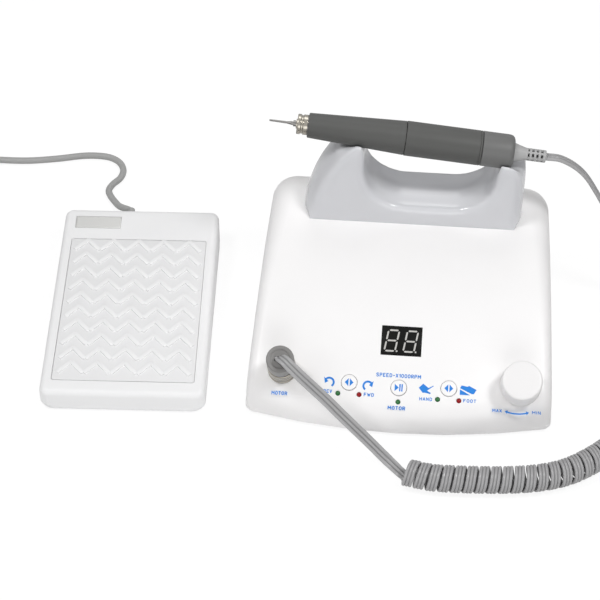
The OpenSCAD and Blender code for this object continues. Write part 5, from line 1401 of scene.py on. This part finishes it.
class DRILL_OT_pedal(bpy.types.Operator):
    """Builds the pedal's cover, tread and badge"""
    bl_idname = "drill.pedal"
    bl_label = "Pedal"

    def execute(self, context):
        sizes = context.scene.drill_pedal
        self.build_cover(sizes)
        self.build_tread(sizes)
        self.build_badge(sizes)
        return {"FINISHED"}

    def build_cover(self, sizes):
        """The cover, with the tread's window and the badge's recess."""
        bm = bmesh.new()
        tall = sizes.back_height - sizes.parting
        middle = sizes.parting + tall/2
        block(bm, (sizes.width, sizes.depth, tall), (0, sizes.depth/2, middle))
        round_upright(bm, sizes.corner_radius, segments=10)
        for vert in bm.verts:
            if vert.co.z > middle:
                vert.co.z = pedal_top(sizes, vert.co.y)
        rim = [e for e in bm.edges if all(v.co.z > sizes.parting + tall/4 for v in e.verts)]
        bevel(bm, rim, sizes.edge_radius, segments=7)
        floor = [f for f in bm.faces if all(v.co.z < sizes.parting + SAME_PLACE for v in f.verts)]
        bmesh.ops.delete(bm, geom=floor, context="FACES")
        face_out(bm)
        cover = show("pedal_cover_form", bm, on_pedal())
        add_wall(cover, sizes.wall)
        tool = bmesh.new()
        opening = bmesh.new()
        slack = sizes.tread_gap + sizes.tread_side_gap
        block(opening, (sizes.tread_width + 2*sizes.tread_side_gap, sizes.tread_length + slack, 6*sizes.wall))
        round_upright(opening, sizes.tread_corner + sizes.tread_side_gap)
        row = sizes.tread_front + (sizes.tread_length + sizes.tread_side_gap - sizes.tread_gap)/2
        join(tool, opening, on_tread(0, row))
        recess = bmesh.new()
        room = 0.0004
        block(recess, (sizes.badge_width + room, sizes.badge_length + room, 2*sizes.badge_sunk))
        join(tool, recess, on_tread(sizes.badge_inset - sizes.width/2, sizes.badge_row))
        cut(cover, tool)
        dress(cover, "pedal_plastic", ROOT, ("pedal_cover",))

    def build_tread(self, sizes):
        """The tread, with raised chevrons whose two slants differ in level."""
        bm = bmesh.new()
        depth = sizes.tread_thickness
        block(bm, (sizes.tread_width, sizes.tread_length, depth), (0, 0, -depth/2))
        round_upright(bm, sizes.tread_corner)
        rim = [e for e in bm.edges if all(v.co.z > -depth/2 for v in e.verts)]
        bevel(bm, rim, sizes.tread_edge, segments=3)
        place = on_tread(0, sizes.tread_front + sizes.tread_length/2)
        plate = piece("tread_plate_form", bm, "tread_floor", "tread", place, ("tread_plate",))
        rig.slot(plate, "pedal_plastic")
        bars = bmesh.new()
        lean = sizes.bar_lean
        shift = 0.0022
        overlap = 0.0008
        level = 0.08
        for column in range(sizes.bar_columns):
            x = (column - (sizes.bar_columns - 1)/2)*sizes.bar_pitch
            for row in range(sizes.bar_rows):
                y = (row - (sizes.bar_rows - 1)/2)*sizes.row_pitch + shift
                for side in (-1, 1):
                    arm = side*0.5*(sizes.bar_length - overlap)*math.cos(lean)
                    tall = (2 + level*side)*sizes.bar_height
                    block(bars, (sizes.bar_length, sizes.bar_width, tall), (x + arm, y, 0), -side*lean,
                          edge=FINE_EDGE, segments=2)
        piece("tread_bars", bars, "pedal_plastic", "tread", place)

    def build_badge(self, sizes):
        """The bare badge with its raised rim."""
        edge = 0.00015
        rim = 0.0007
        step = 0.0002
        upwards = 0.99
        bm = bmesh.new()
        tall = sizes.badge_thickness
        block(bm, (sizes.badge_width, sizes.badge_length, tall), (0, 0, tall/2 - sizes.badge_sunk), edge=edge)
        face = [f for f in bm.faces if f.normal.z > upwards]
        bmesh.ops.inset_region(bm, faces=face, thickness=rim, depth=0)
        bmesh.ops.inset_region(bm, faces=face, thickness=step, depth=-step)
        place = on_tread(sizes.badge_inset - sizes.width/2, sizes.badge_row)
        piece("pedal_badge_form", bm, "badge_metal", ROOT, place, ("pedal_badge",))


class DRILL_OT_spring(bpy.types.Operator):
    """Builds the spring under the tread"""
    bl_idname = "drill.spring"
    bl_label = "Spring"

    def execute(self, context):
        sizes = context.scene.drill_pedal
        low, high = (Vector(corner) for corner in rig.box("pedal_spring"))
        wire = sizes.spring_wire
        middle = (high - low)/2 + low
        radius = (high.y - low.y)/2 - wire
        rise = high.z - low.z - 2*wire
        flat = 2.1*wire
        coil = (rise - 2*flat)/sizes.spring_turns
        bm = bmesh.new()
        start = Matrix.Translation((radius, 0, wire)) @ Matrix.Rotation(math.pi/2, 4, "X")
        bmesh.ops.create_circle(bm, segments=12, radius=wire, matrix=start)
        ring = bm.verts[:] + bm.edges[:]
        for turns, pitch in ((1, flat), (sizes.spring_turns, coil), (1, flat)):
            ring = bmesh.ops.spin(bm, geom=ring, cent=(0, 0, 0), axis=UP, dvec=(0, 0, pitch/SMALL_STEPS),
                                  angle=turns*FULL_TURN, steps=turns*SMALL_STEPS)["geom_last"]
        bmesh.ops.holes_fill(bm, edges=[e for e in bm.edges if e.is_boundary], sides=0)
        face_out(bm)
        foot = Vector((middle.x, middle.y, low.z))
        spring = piece("pedal_spring_form", bm, SLOT_OF["pedal_spring"], ROOT, Matrix.Translation(foot),
                       ("pedal_spring",))
        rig.squash(spring, "tread_press", axis=UP, anchor=foot, keep=0.6)
        return {"FINISHED"}


# Parts behind and inside the housing

# The plain parts and how much is taken off their edges, in millimetres
TRIMMED = {"base_tray": 0.6, "rubber_feet": 0.5, "rear_panel": 0.3, "power_inlet": 0.4, "switch_bezel": 0.4,
           "power_rocker": 0.4, "fuse_holder": 0.3, "pedal_socket": 0.2, "case_screws": 0.15,
           "pedal_base": 0.5, "pedal_feet": 0.5, "motor_socket": 0.2, "display_module": 0.25,
           "transformer_core": 0.2, "control_board": 0.1, "power_board": 0.1, "power_components": 0.3}


class DRILL_OT_trimmed(bpy.types.Operator):
    """Takes the sharp edges off the plain parts"""
    bl_idname = "drill.trimmed"
    bl_label = "Trimmed parts"

    def execute(self, context):
        for node, edge in TRIMMED.items():
            trimmed(node, edge*MM)
        return {"FINISHED"}


class DRILL_OT_winding(bpy.types.Operator):
    """Winds the transformer's wire round its core"""
    bl_idname = "drill.winding"
    bl_label = "Winding"

    def execute(self, context):
        unit = context.scene.drill_unit
        low, high = (Vector(corner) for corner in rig.box("transformer_winding"))
        middle = (low + high)/2
        reach = unit.winding_reach
        wide = (high.x - low.x)/2 - reach
        deep = (high.y - low.y)/2 - reach
        tall = (high.z - low.z)/2
        wire = tall/unit.winding_turns
        bm = bmesh.new()
        inner = 0.0001
        bends = 4
        corners = [(inner, -tall)]
        for turn in range(unit.winding_turns):
            for step in range(bends + 1):
                lean = math.pi*(step/bends - 0.5)
                corners.append((reach - wire + wire*math.cos(lean),
                                -tall + wire*(2*turn + 1 + math.sin(lean))))
        corners.append((inner, tall))
        verts = [bm.verts.new((wide + x, deep, z)) for x, z in corners]
        edges = [bm.edges.new(pair) for pair in zip(verts, verts[1:] + verts[:1])]
        front = verts + edges
        sides = (((wide, deep), (-2*wide, 0, 0)), ((-wide, deep), (0, -2*deep, 0)),
                 ((-wide, -deep), (2*wide, 0, 0)), ((wide, -deep), (0, 2*deep, 0)))
        for (x, y), run in sides:
            front = bmesh.ops.spin(bm, geom=front, cent=(x, y, 0), axis=UP, angle=math.pi/2,
                                   steps=6)["geom_last"]
            made = bmesh.ops.extrude_edge_only(bm, edges=only(front, bmesh.types.BMEdge))["geom"]
            moved = only(made, bmesh.types.BMVert)
            bmesh.ops.translate(bm, verts=moved, vec=run)
            front = moved + [e for e in only(made, bmesh.types.BMEdge)
                             if all(vert in moved for vert in e.verts)]
        merge(bm)
        face_out(bm)
        piece("winding_form", bm, SLOT_OF["transformer_winding"], ROOT, Matrix.Translation(middle),
              ("transformer_winding",), sharp=70)
        return {"FINISHED"}


# Cords

# Routes of the cords in the unit's frame, in millimetres
LEAD_ROUTE = ((-70.8, 4.6, 58.9), (-68.4, 2.3, 59.2), (-65, -0.8, 58.2), (-60.8, -3.1, 55.4),
              (-55.2, -5, 50.6), (-48.5, -7.1, 44.6), (-42.2, -9, 38.8), (-35.4, -11.4, 32.4),
              (-28.6, -13.9, 26.3), (-23.5, -15.6, 21.6), (-18.6, -17.3, 17.2), (-13.3, -19.4, 12.6),
              (-8.3, -21.8, 8.6))
CURL_ENTRY = ((-2, -25.4, 4.5), (3.2, -29, 2.1), (7, -32.6, 1.4))
CURL_AXIS = ((0.7, -34.7), (7, -35.7), (14, -36.8), (24, -38), (36, -38), (48, -37.5), (68, -36), (86, -33),
             (102, -27.5), (116, -18.5), (129, -7), (140, 7), (148, 22), (153, 38), (155, 54), (155, 70),
             (155, 86))
HAND_ROUTE = ((91, 131.5, 119), (100, 131.5, 114), (108, 131.5, 106), (116, 131.5, 93), (124, 131.5, 78),
              (132, 131.5, 62), (140, 131.5, 46), (148, 130.5, 31), (156, 128, 18), (163, 123, 8.5),
              (168, 116, 3.5), (170, 108, 1.7), (170, 100, 1.4), (168, 93, 1.3))
PEDAL_ROUTE = ((-190.5, 180.5, 9.5), (-193.5, 184, 7.5), (-197.5, 187.5, 5.5), (-201, 191, 4),
               (-204.5, 196, 3), (-208.5, 202, 2.7), (-210.5, 208, 2.6), (-208.5, 214.5, 2.6),
               (-204.5, 221, 2.6), (-203.5, 229, 2.6), (-207, 237, 2.6), (-214, 242, 2.6), (-223, 243.5, 2.6),
               (-235, 242.5, 2.6), (-252, 238, 2.6), (-272, 234, 2.8), (-290, 232.8, 3.1), (-305, 232.8, 3.4),
               (-320, 232.8, 3.5))
COIL_MIDDLE = (-345, 195)
LEAD_FACE = Vector((0.06, -0.70, 0.71))
CURVE_STEPS = 5
CORD_SIDES = 16


def unit_points(route):
    """Points in metres in the row frame from millimetres in the unit's frame."""
    return [UNIT + Vector((*point, 0)[:3])*MM for point in route]


def smooth_curve(points, steps):
    """Points on a Catmull-Rom curve through others."""
    ends = [points[0], *points, points[-1]]
    out = []
    for a, b, c, d in zip(ends, ends[1:], ends[2:], ends[3:]):
        for k in range(steps):
            t = k/steps
            out.append((b*2 + (c - a)*t + (a*2 - b*5 + c*4 - d)*t**2 + (b*3 - a - c*3 + d)*t**3)*0.5)
    return out + [points[-1]]


class Line:
    """A polyline that is read by its length."""

    def __init__(self, points):
        self.points = points
        self.marks = [0.0]
        for a, b in zip(points, points[1:]):
            self.marks.append(self.marks[-1] + (b - a).length)

    def at(self, reach):
        """Point at a length along the line, and past its ends."""
        k = 0
        while k < len(self.points) - 2 and self.marks[k + 1] < reach:
            k += 1
        share = (reach - self.marks[k])/(self.marks[k + 1] - self.marks[k])
        return self.points[k] + (self.points[k + 1] - self.points[k])*share


def path_length(points):
    """Length of a polyline."""
    return sum((b - a).length for a, b in zip(points, points[1:]))


def ways(points):
    """Way that a path goes at each of its points."""
    last = len(points) - 1
    return [points[min(k + 1, last)] - points[max(k - 1, 0)] for k in range(last + 1)]


def tube(points, across, outline, spread=None):
    """Mesh tube along points with an outline of (across, over) places, closed ends and painted crease shade."""
    bm = bmesh.new()
    # Weight of the painted shade between strands, read by the cord's finish
    valley = bm.verts.layers.float.new("valley")
    widest = max(w for w, _ in outline)
    tallest = max(h for _, h in outline)
    courses = ways(points)
    rings = []
    for k, point in enumerate(points):
        way = courses[k].normalized()
        side = (across[k] - way*way.dot(across[k])).normalized()
        over = way.cross(side)
        wide = spread[k] if spread else 1.0
        rings.append([bm.verts.new(point + side*w*wide + over*h) for w, h in outline])
        for vert, (w, h) in zip(rings[-1], outline):
            # 1 deep in a crease between strands, 0 on their crowns and at the outer sides
            vert[valley] = 1 - abs(h)/tallest if abs(w) < widest - tallest else 0
    for first, second in zip(rings, rings[1:]):
        for k in range(len(outline)):
            n = (k + 1) % len(outline)
            bm.faces.new((first[k], first[n], second[n], second[k]))
    bm.faces.new(rings[0])
    bm.faces.new(rings[-1])
    face_out(bm)
    return bm


def ribbon_outline(cords):
    """Outline of three strands side by side."""
    radius = cords.strand
    shift = cords.ribbon_width/2 - radius
    meet = math.acos(shift/2/radius)
    far = math.pi - meet
    round_steps = 9
    flat_steps = 5
    outline = []
    for middle, start, end, steps in ((shift, -far, far, round_steps), (0, meet, far, flat_steps),
                                      (-shift, meet, FULL_TURN - meet, round_steps),
                                      (0, math.pi + meet, FULL_TURN - meet, flat_steps)):
        for k in range(steps):
            turn = start + (end - start)*k/steps
            outline.append((middle + radius*math.cos(turn), radius*math.sin(turn)))
    return outline


def level_across(points):
    """Level direction across a path at each of its points."""
    return [UP.cross(way).normalized() for way in ways(points)]


def curl_path(cords):
    """Points of the curls, and the directions across them."""
    height = cords.curl_radius + cords.strand + cords.lift
    line = Line([point + UP*height for point in smooth_curve(unit_points(CURL_AXIS), 4)])
    wide = cords.ribbon_width

    def crowded(t):
        """Shift of the first and the last curl, in pitches."""
        return cords.crowd*(max(0, 1 - t)**3 - max(0, t - cords.curls + 1)**3)/3

    def raised(t):
        """Lift of the first curl."""
        return UP*cords.first_raise*max(0, 1 - t/2)**2*min(1, 4*t)

    points = []
    across = []
    for k in range(cords.curls*cords.curl_steps + 1):
        t = k/cords.curl_steps
        reach = wide + cords.curl_pitch*(t + cords.curl_start + crowded(t))
        way = (line.at(reach + wide) - line.at(reach - wide)).normalized()
        turn = math.pi + FULL_TURN*t
        side = UP.cross(way)
        spoke = (UP*math.cos(turn) + side*math.sin(turn))*cords.curl_radius
        points.append(line.at(reach) + spoke + raised(t))
        across.append(way)
    return points, across


def level_way(first, second):
    """Level direction from one point to another."""
    return Vector((second.x - first.x, second.y - first.y, 0)).normalized()


class DRILL_OT_hand_cord(bpy.types.Operator):
    """Lays the flat handpiece cord from the plug through its curls to the boot"""
    bl_idname = "drill.hand_cord"
    bl_label = "Handpiece cord"

    def execute(self, context):
        cords = context.scene.drill_cords
        sizes = context.scene.drill_controls
        hand = context.scene.drill_hand
        outline = ribbon_outline(cords)
        thick = 2*cords.strand
        wide = cords.ribbon_width
        curls, curl_across = curl_path(cords)
        way_out = level_way(curls[-2], curls[-1])
        last = curls[-1] + way_out*wide
        place = on_panel(*SOCKET_PLACE)
        top = sizes.flange_height + sizes.ring_height + sizes.neck_height + sizes.plug_height
        exit_point = place @ Vector((0, 0, top))
        over = place @ Vector((0, 0, top + thick))
        slot_depth = 0.0025
        sunk = place @ Vector((0, 0, top - slot_depth))
        lead = smooth_curve([over, *unit_points(LEAD_ROUTE), *unit_points(CURL_ENTRY), curls[0]], CURVE_STEPS)
        points = [sunk, exit_point, *lead[:-1]]
        across, spread = self.turn_lead(points, curl_across[0], cords)
        across += [*curl_across, curl_across[-1]]
        spread += [1.0]*(len(curls) + 1)
        points += [*curls, last]
        lead_piece = piece("handpiece_cord", tube(points, across, outline, spread), "cord_jacket", ROOT,
                           stands_for=("plug_lead", "curly_cord"))
        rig.cord(lead_piece, exit_point, path_length(points), wide, "object", "medium", "loose", path=points,
                with_pieces=PLUG_PIECES)
        way = on_hand().to_3x3() @ UP
        reach = hand.grip_length + 2*hand.seam + hand.motor_length + hand.cap_length + hand.boot_length
        boot_end = on_hand() @ Vector((0, 0, reach))
        route = [boot_end + way*thick, *unit_points(HAND_ROUTE), last + way_out*wide]
        tail = [boot_end - way*thick, boot_end, *smooth_curve(route, CURVE_STEPS), last]
        tail.reverse()
        tail_piece = piece("handpiece_cord_end", tube(tail, level_across(tail), outline), "cord_jacket", None,
                           stands_for=("hand_cord",))
        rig.cord(tail_piece, last, path_length(tail), wide, "object", "medium", "loose", path=tail)
        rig.blend(tail_piece, ROOT, "handpiece", tail[len(tail)//3], boot_end + way*0.006)
        return {"FINISHED"}

    def turn_lead(self, points, curl_across, cords):
        """Directions across the lead, which turns its flat side to the front, and how far it spreads."""
        line = Line(points)
        across = []
        spread = []
        courses = ways(points)
        for k, level in enumerate(level_across(points)):
            facing = LEAD_FACE.cross(courses[k].normalized())
            start = min(line.marks[k]/cords.lead_turn, 1.0)
            end = min((line.marks[-1] - line.marks[k])/cords.lead_turn, 1.0)
            turned = level*(1 - start) + facing*start
            across.append((curl_across*(1 - end) + turned*end).normalized())
            spread.append(1 + (cords.lead_spread - 1)*min(start, end))
        return across, spread


class DRILL_OT_pedal_cord(bpy.types.Operator):
    """Lays the pedal's cord and its put-away coil"""
    bl_idname = "drill.pedal_cord"
    bl_label = "Pedal cord"

    def execute(self, context):
        cords = context.scene.drill_cords
        pedal = context.scene.drill_pedal
        wide = cords.pedal_cord
        gland = lathe(self.gland_corners(pedal), steps=48)
        seat = on_pedal() @ Vector((pedal.gland_shift, pedal.depth, pedal.gland_height))
        back = on_pedal().to_3x3() @ Vector((0, 1, 0))
        gland_piece = piece("pedal_gland_form", gland, "pedal_cord_jacket", ROOT, axes(seat, back, UP),
                            ("pedal_gland",))
        end = seat + back*pedal.gland_length
        coil = self.coil_points(cords)
        first = coil[0] + Vector((wide, 0, 0))
        last = coil[-1] - Vector((0, wide, 0))
        route = [end + back*wide, *unit_points(PEDAL_ROUTE), first + Vector((wide, 0, 0))]
        points = [end - back*wide/2, end, *smooth_curve(route, CURVE_STEPS), first, *coil, last]
        turns = [k*FULL_TURN/CORD_SIDES for k in range(CORD_SIDES)]
        outline = [(wide/2*math.cos(turn), wide/2*math.sin(turn)) for turn in turns]
        form = tube(points, level_across(points), outline)
        cord_piece = piece("pedal_cord_form", form, "pedal_cord_jacket", ROOT,
                           stands_for=("pedal_cord", "pedal_cord_coil"))
        plug = trimmed("pedal_plug", SOFT_EDGE)
        tie = trimmed("coil_tie", FINE_EDGE)
        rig.cord(cord_piece, end, path_length(points), wide, "plug", "medium", "coiled", path=points,
                with_pieces=[gland_piece, plug, tie])
        return {"FINISHED"}

    def gland_corners(self, pedal):
        """Profile of the ribbed gland."""
        ribs = 5
        bore = 0.002
        root = -0.001
        low_edge = 0.0002
        groove = 0.0007
        filled = 0.62
        corners = [(bore, root), (pedal.gland_radius, root)]
        for k in range(ribs):
            low = pedal.gland_length*k/ribs
            high = pedal.gland_length*(k + filled)/ribs
            radius = pedal.gland_radius + (pedal.gland_end - pedal.gland_radius)*(k + 0.5)/ribs
            after = pedal.gland_length*(k + 1)/ribs
            sunk = radius - groove
            corners += [(radius, low, low_edge), (radius, high, FINE_EDGE), (sunk, high + low_edge),
                        (sunk, after)]
        return corners + [(bore, pedal.gland_length)]

    def coil_points(self, cords):
        """Points of the coil: inwards in the lower layer, outwards in the upper."""
        loops = cords.coil_loops
        run_out = 0.25
        ends = 2*loops + run_out
        total = round(ends*cords.coil_steps)
        middle = UNIT + Vector((*COIL_MIDDLE, 0))*MM
        high = cords.coil_low + cords.coil_step
        points = []
        for k in range(total + 1):
            t = ends*k/total
            off = 4*max(t - 2*loops, 0)
            radius = cords.coil_radius + cords.coil_step*(abs(t - loops) + off*3/4)
            climb = min(max(2*(t - loops) + 0.5, 0), 1)
            z = cords.coil_low + cords.coil_step*climb + (cords.coil_end - high)*off**2
            turn = math.pi/2 + FULL_TURN*t
            points.append(middle + Vector((radius*math.cos(turn), radius*math.sin(turn), z)))
        return points


# Stage

EYE = Vector((73.63, -860.81, 894.57))*MM
EYE_BACK = Vector((0.0592, -0.7046, 0.7071)).normalized()
EYE_RIGHT = Vector((0.7046, 0.0592, 0)).normalized()
LENS = 115.08
SENSOR = 36
LIT_PLACE = Vector((0.03, 0.0, 0.03))
SOFT_LIGHT = 0.19
WHITE = (1, 1, 1, 1)
FLOOR_SIZE = 6
FLOOR_TONE = (0.88, 0.88, 0.88, 1)
FLOOR_GLOW = 1.08
GLOW_SHARE = 0.82

# Each light, its place, size and power
LIGHTS = (("left_light", (-0.5, -0.3, 1.15), 0.3, 4.9), ("right_light", (0.62, -0.3, 1.15), 0.25, 6.0),
          ("back_light", (0.05, 0.65, 1.2), 0.6, 2.8), ("front_light", (0.25, -1.0, 0.2), 0.7, 3.3),
          ("side_light", (-1.2, -0.6, 0.3), 0.8, 2.0))


class DRILL_OT_stage(bpy.types.Operator):
    """Sets the camera, the lights, the white background and the floor"""
    bl_idname = "drill.stage"
    bl_label = "Stage"

    def execute(self, context):
        scene = context.scene
        lens = bpy.data.cameras.new("camera")
        lens.lens = LENS
        lens.sensor_width = SENSOR
        camera = bpy.data.objects.new("camera", lens)
        turn = Matrix((EYE_RIGHT, EYE_BACK.cross(EYE_RIGHT), EYE_BACK)).transposed()
        camera.matrix_world = Matrix.Translation(EYE) @ turn.to_4x4()
        scene.collection.objects.link(camera)
        scene.camera = camera
        scene.view_settings.view_transform = "Standard"
        for name, place, size, power in LIGHTS:
            lamp = bpy.data.lights.new(name, "AREA")
            lamp.size = size
            lamp.energy = power
            obj = bpy.data.objects.new(name, lamp)
            obj.matrix_world = axes(Vector(place), Vector(place) - LIT_PLACE, ALONG_X)
            scene.collection.objects.link(obj)
            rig.stage(obj)
        self.light_world(scene)
        self.lay_floor()
        return {"FINISHED"}

    def light_world(self, scene):
        """White for the camera and for mirrors, softer as a light."""
        world = bpy.data.worlds.new("studio")
        scene.world = world
        world.use_nodes = True
        nodes = Nodes(world.node_tree)
        rays = {name: nodes.add("ShaderNodeLightPath", output=name)
                for name in ("Is Camera Ray", "Is Glossy Ray", "Is Transmission Ray")}
        seen = rays["Is Camera Ray"] + rays["Is Glossy Ray"] + rays["Is Transmission Ray"]
        strength = SOFT_LIGHT + (1 - SOFT_LIGHT)*seen.math("MINIMUM", seen, 1.0)
        light = nodes.add("ShaderNodeBackground", inputs={"Color": WHITE, "Strength": strength})
        nodes.add("ShaderNodeOutputWorld", inputs={"Surface": light})

    def lay_floor(self):
        """A pale floor that keeps a faint shadow."""
        bm = bmesh.new()
        bmesh.ops.create_grid(bm, x_segments=1, y_segments=1, size=FLOOR_SIZE)
        floor = show("floor", bm)
        material = bpy.data.materials.new("floor")
        material.use_nodes = True
        nodes = Nodes(material.node_tree)
        seen = nodes.add("ShaderNodeLightPath", output="Is Camera Ray")
        matt = nodes.add("ShaderNodeBsdfDiffuse", inputs={"Color": FLOOR_TONE})
        glow = nodes.add("ShaderNodeEmission", inputs={"Color": WHITE, "Strength": FLOOR_GLOW})
        mixed = nodes.add("ShaderNodeMixShader", inputs={0: seen*GLOW_SHARE, 1: matt, 2: glow})
        nodes.add("ShaderNodeOutputMaterial", inputs={"Surface": mixed})
        floor.data.materials.append(material)
        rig.stage(floor)


class DRILL_OT_cad_finishes(bpy.types.Operator):
    """Gives every CAD node the finish of its material slot"""
    bl_idname = "drill.cad_finishes"
    bl_label = "Finishes of the CAD nodes"

    def execute(self, context):
        make_finishes(context.scene.drill_colours)
        for node, obj in frame["nodes"].items():
            obj.data.materials.clear()
            obj.data.materials.append(FINISHES[SLOT_OF[node]])
        return {"FINISHED"}


class DRILL_PT_panel(bpy.types.Panel):
    """Sizes and colours of the nail drill, and a button for each piece"""
    bl_idname = "DRILL_PT_panel"
    bl_label = "Nail drill"
    bl_space_type = "VIEW_3D"
    bl_region_type = "UI"
    bl_category = "Nail drill"

    def draw(self, context):
        for operator in OPERATORS:
            self.layout.operator(operator.bl_idname)
        for group in SIZE_GROUPS:
            sizes = getattr(context.scene, group)
            box = self.layout.box()
            for key in sizes.__annotations__:
                box.prop(sizes, key)


OPERATORS = (DRILL_OT_cad_finishes, DRILL_OT_stage, DRILL_OT_plug, DRILL_OT_hand_cord, DRILL_OT_pedal_cord,
             DRILL_OT_housing, DRILL_OT_cradle, DRILL_OT_print, DRILL_OT_buttons, DRILL_OT_lamps,
             DRILL_OT_display, DRILL_OT_knob, DRILL_OT_handpiece, DRILL_OT_pedal, DRILL_OT_spring,
             DRILL_OT_trimmed, DRILL_OT_winding)


def register():
    """Registers the size groups, operators and panel."""
    for name, group in SIZE_GROUPS.items():
        bpy.utils.register_class(group)
        setattr(bpy.types.Scene, name, PointerProperty(type=group))
    for kind in (*OPERATORS, DRILL_PT_panel):
        bpy.utils.register_class(kind)


def unregister():
    """Takes the panel, operators and size groups away."""
    for kind in (DRILL_PT_panel, *reversed(OPERATORS)):
        bpy.utils.unregister_class(kind)
    for name, group in SIZE_GROUPS.items():
        delattr(bpy.types.Scene, name)
        bpy.utils.unregister_class(group)


def main():
    """Builds every piece and writes the sizes of the CAD box and of the finished object."""
    register()
    bpy.ops.drill.cad_finishes()
    bpy.ops.drill.stage()
    bpy.ops.drill.plug()
    bpy.ops.drill.hand_cord()
    bpy.ops.drill.pedal_cord()
    bpy.ops.drill.housing()
    bpy.ops.drill.cradle()
    bpy.ops.drill.print()
    bpy.ops.drill.buttons()
    bpy.ops.drill.lamps()
    bpy.ops.drill.display()
    bpy.ops.drill.knob()
    bpy.ops.drill.handpiece()
    bpy.ops.drill.pedal()
    bpy.ops.drill.spring()
    bpy.ops.drill.trimmed()
    bpy.ops.drill.winding()
    boxes = {"cad": [list(corner) for corner in CAD_BOX], "object": [list(corner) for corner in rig.bounds()]}
    with open("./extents.json", "w") as out:
        json.dump(boxes, out)


if __name__ == "__main__":
    main()
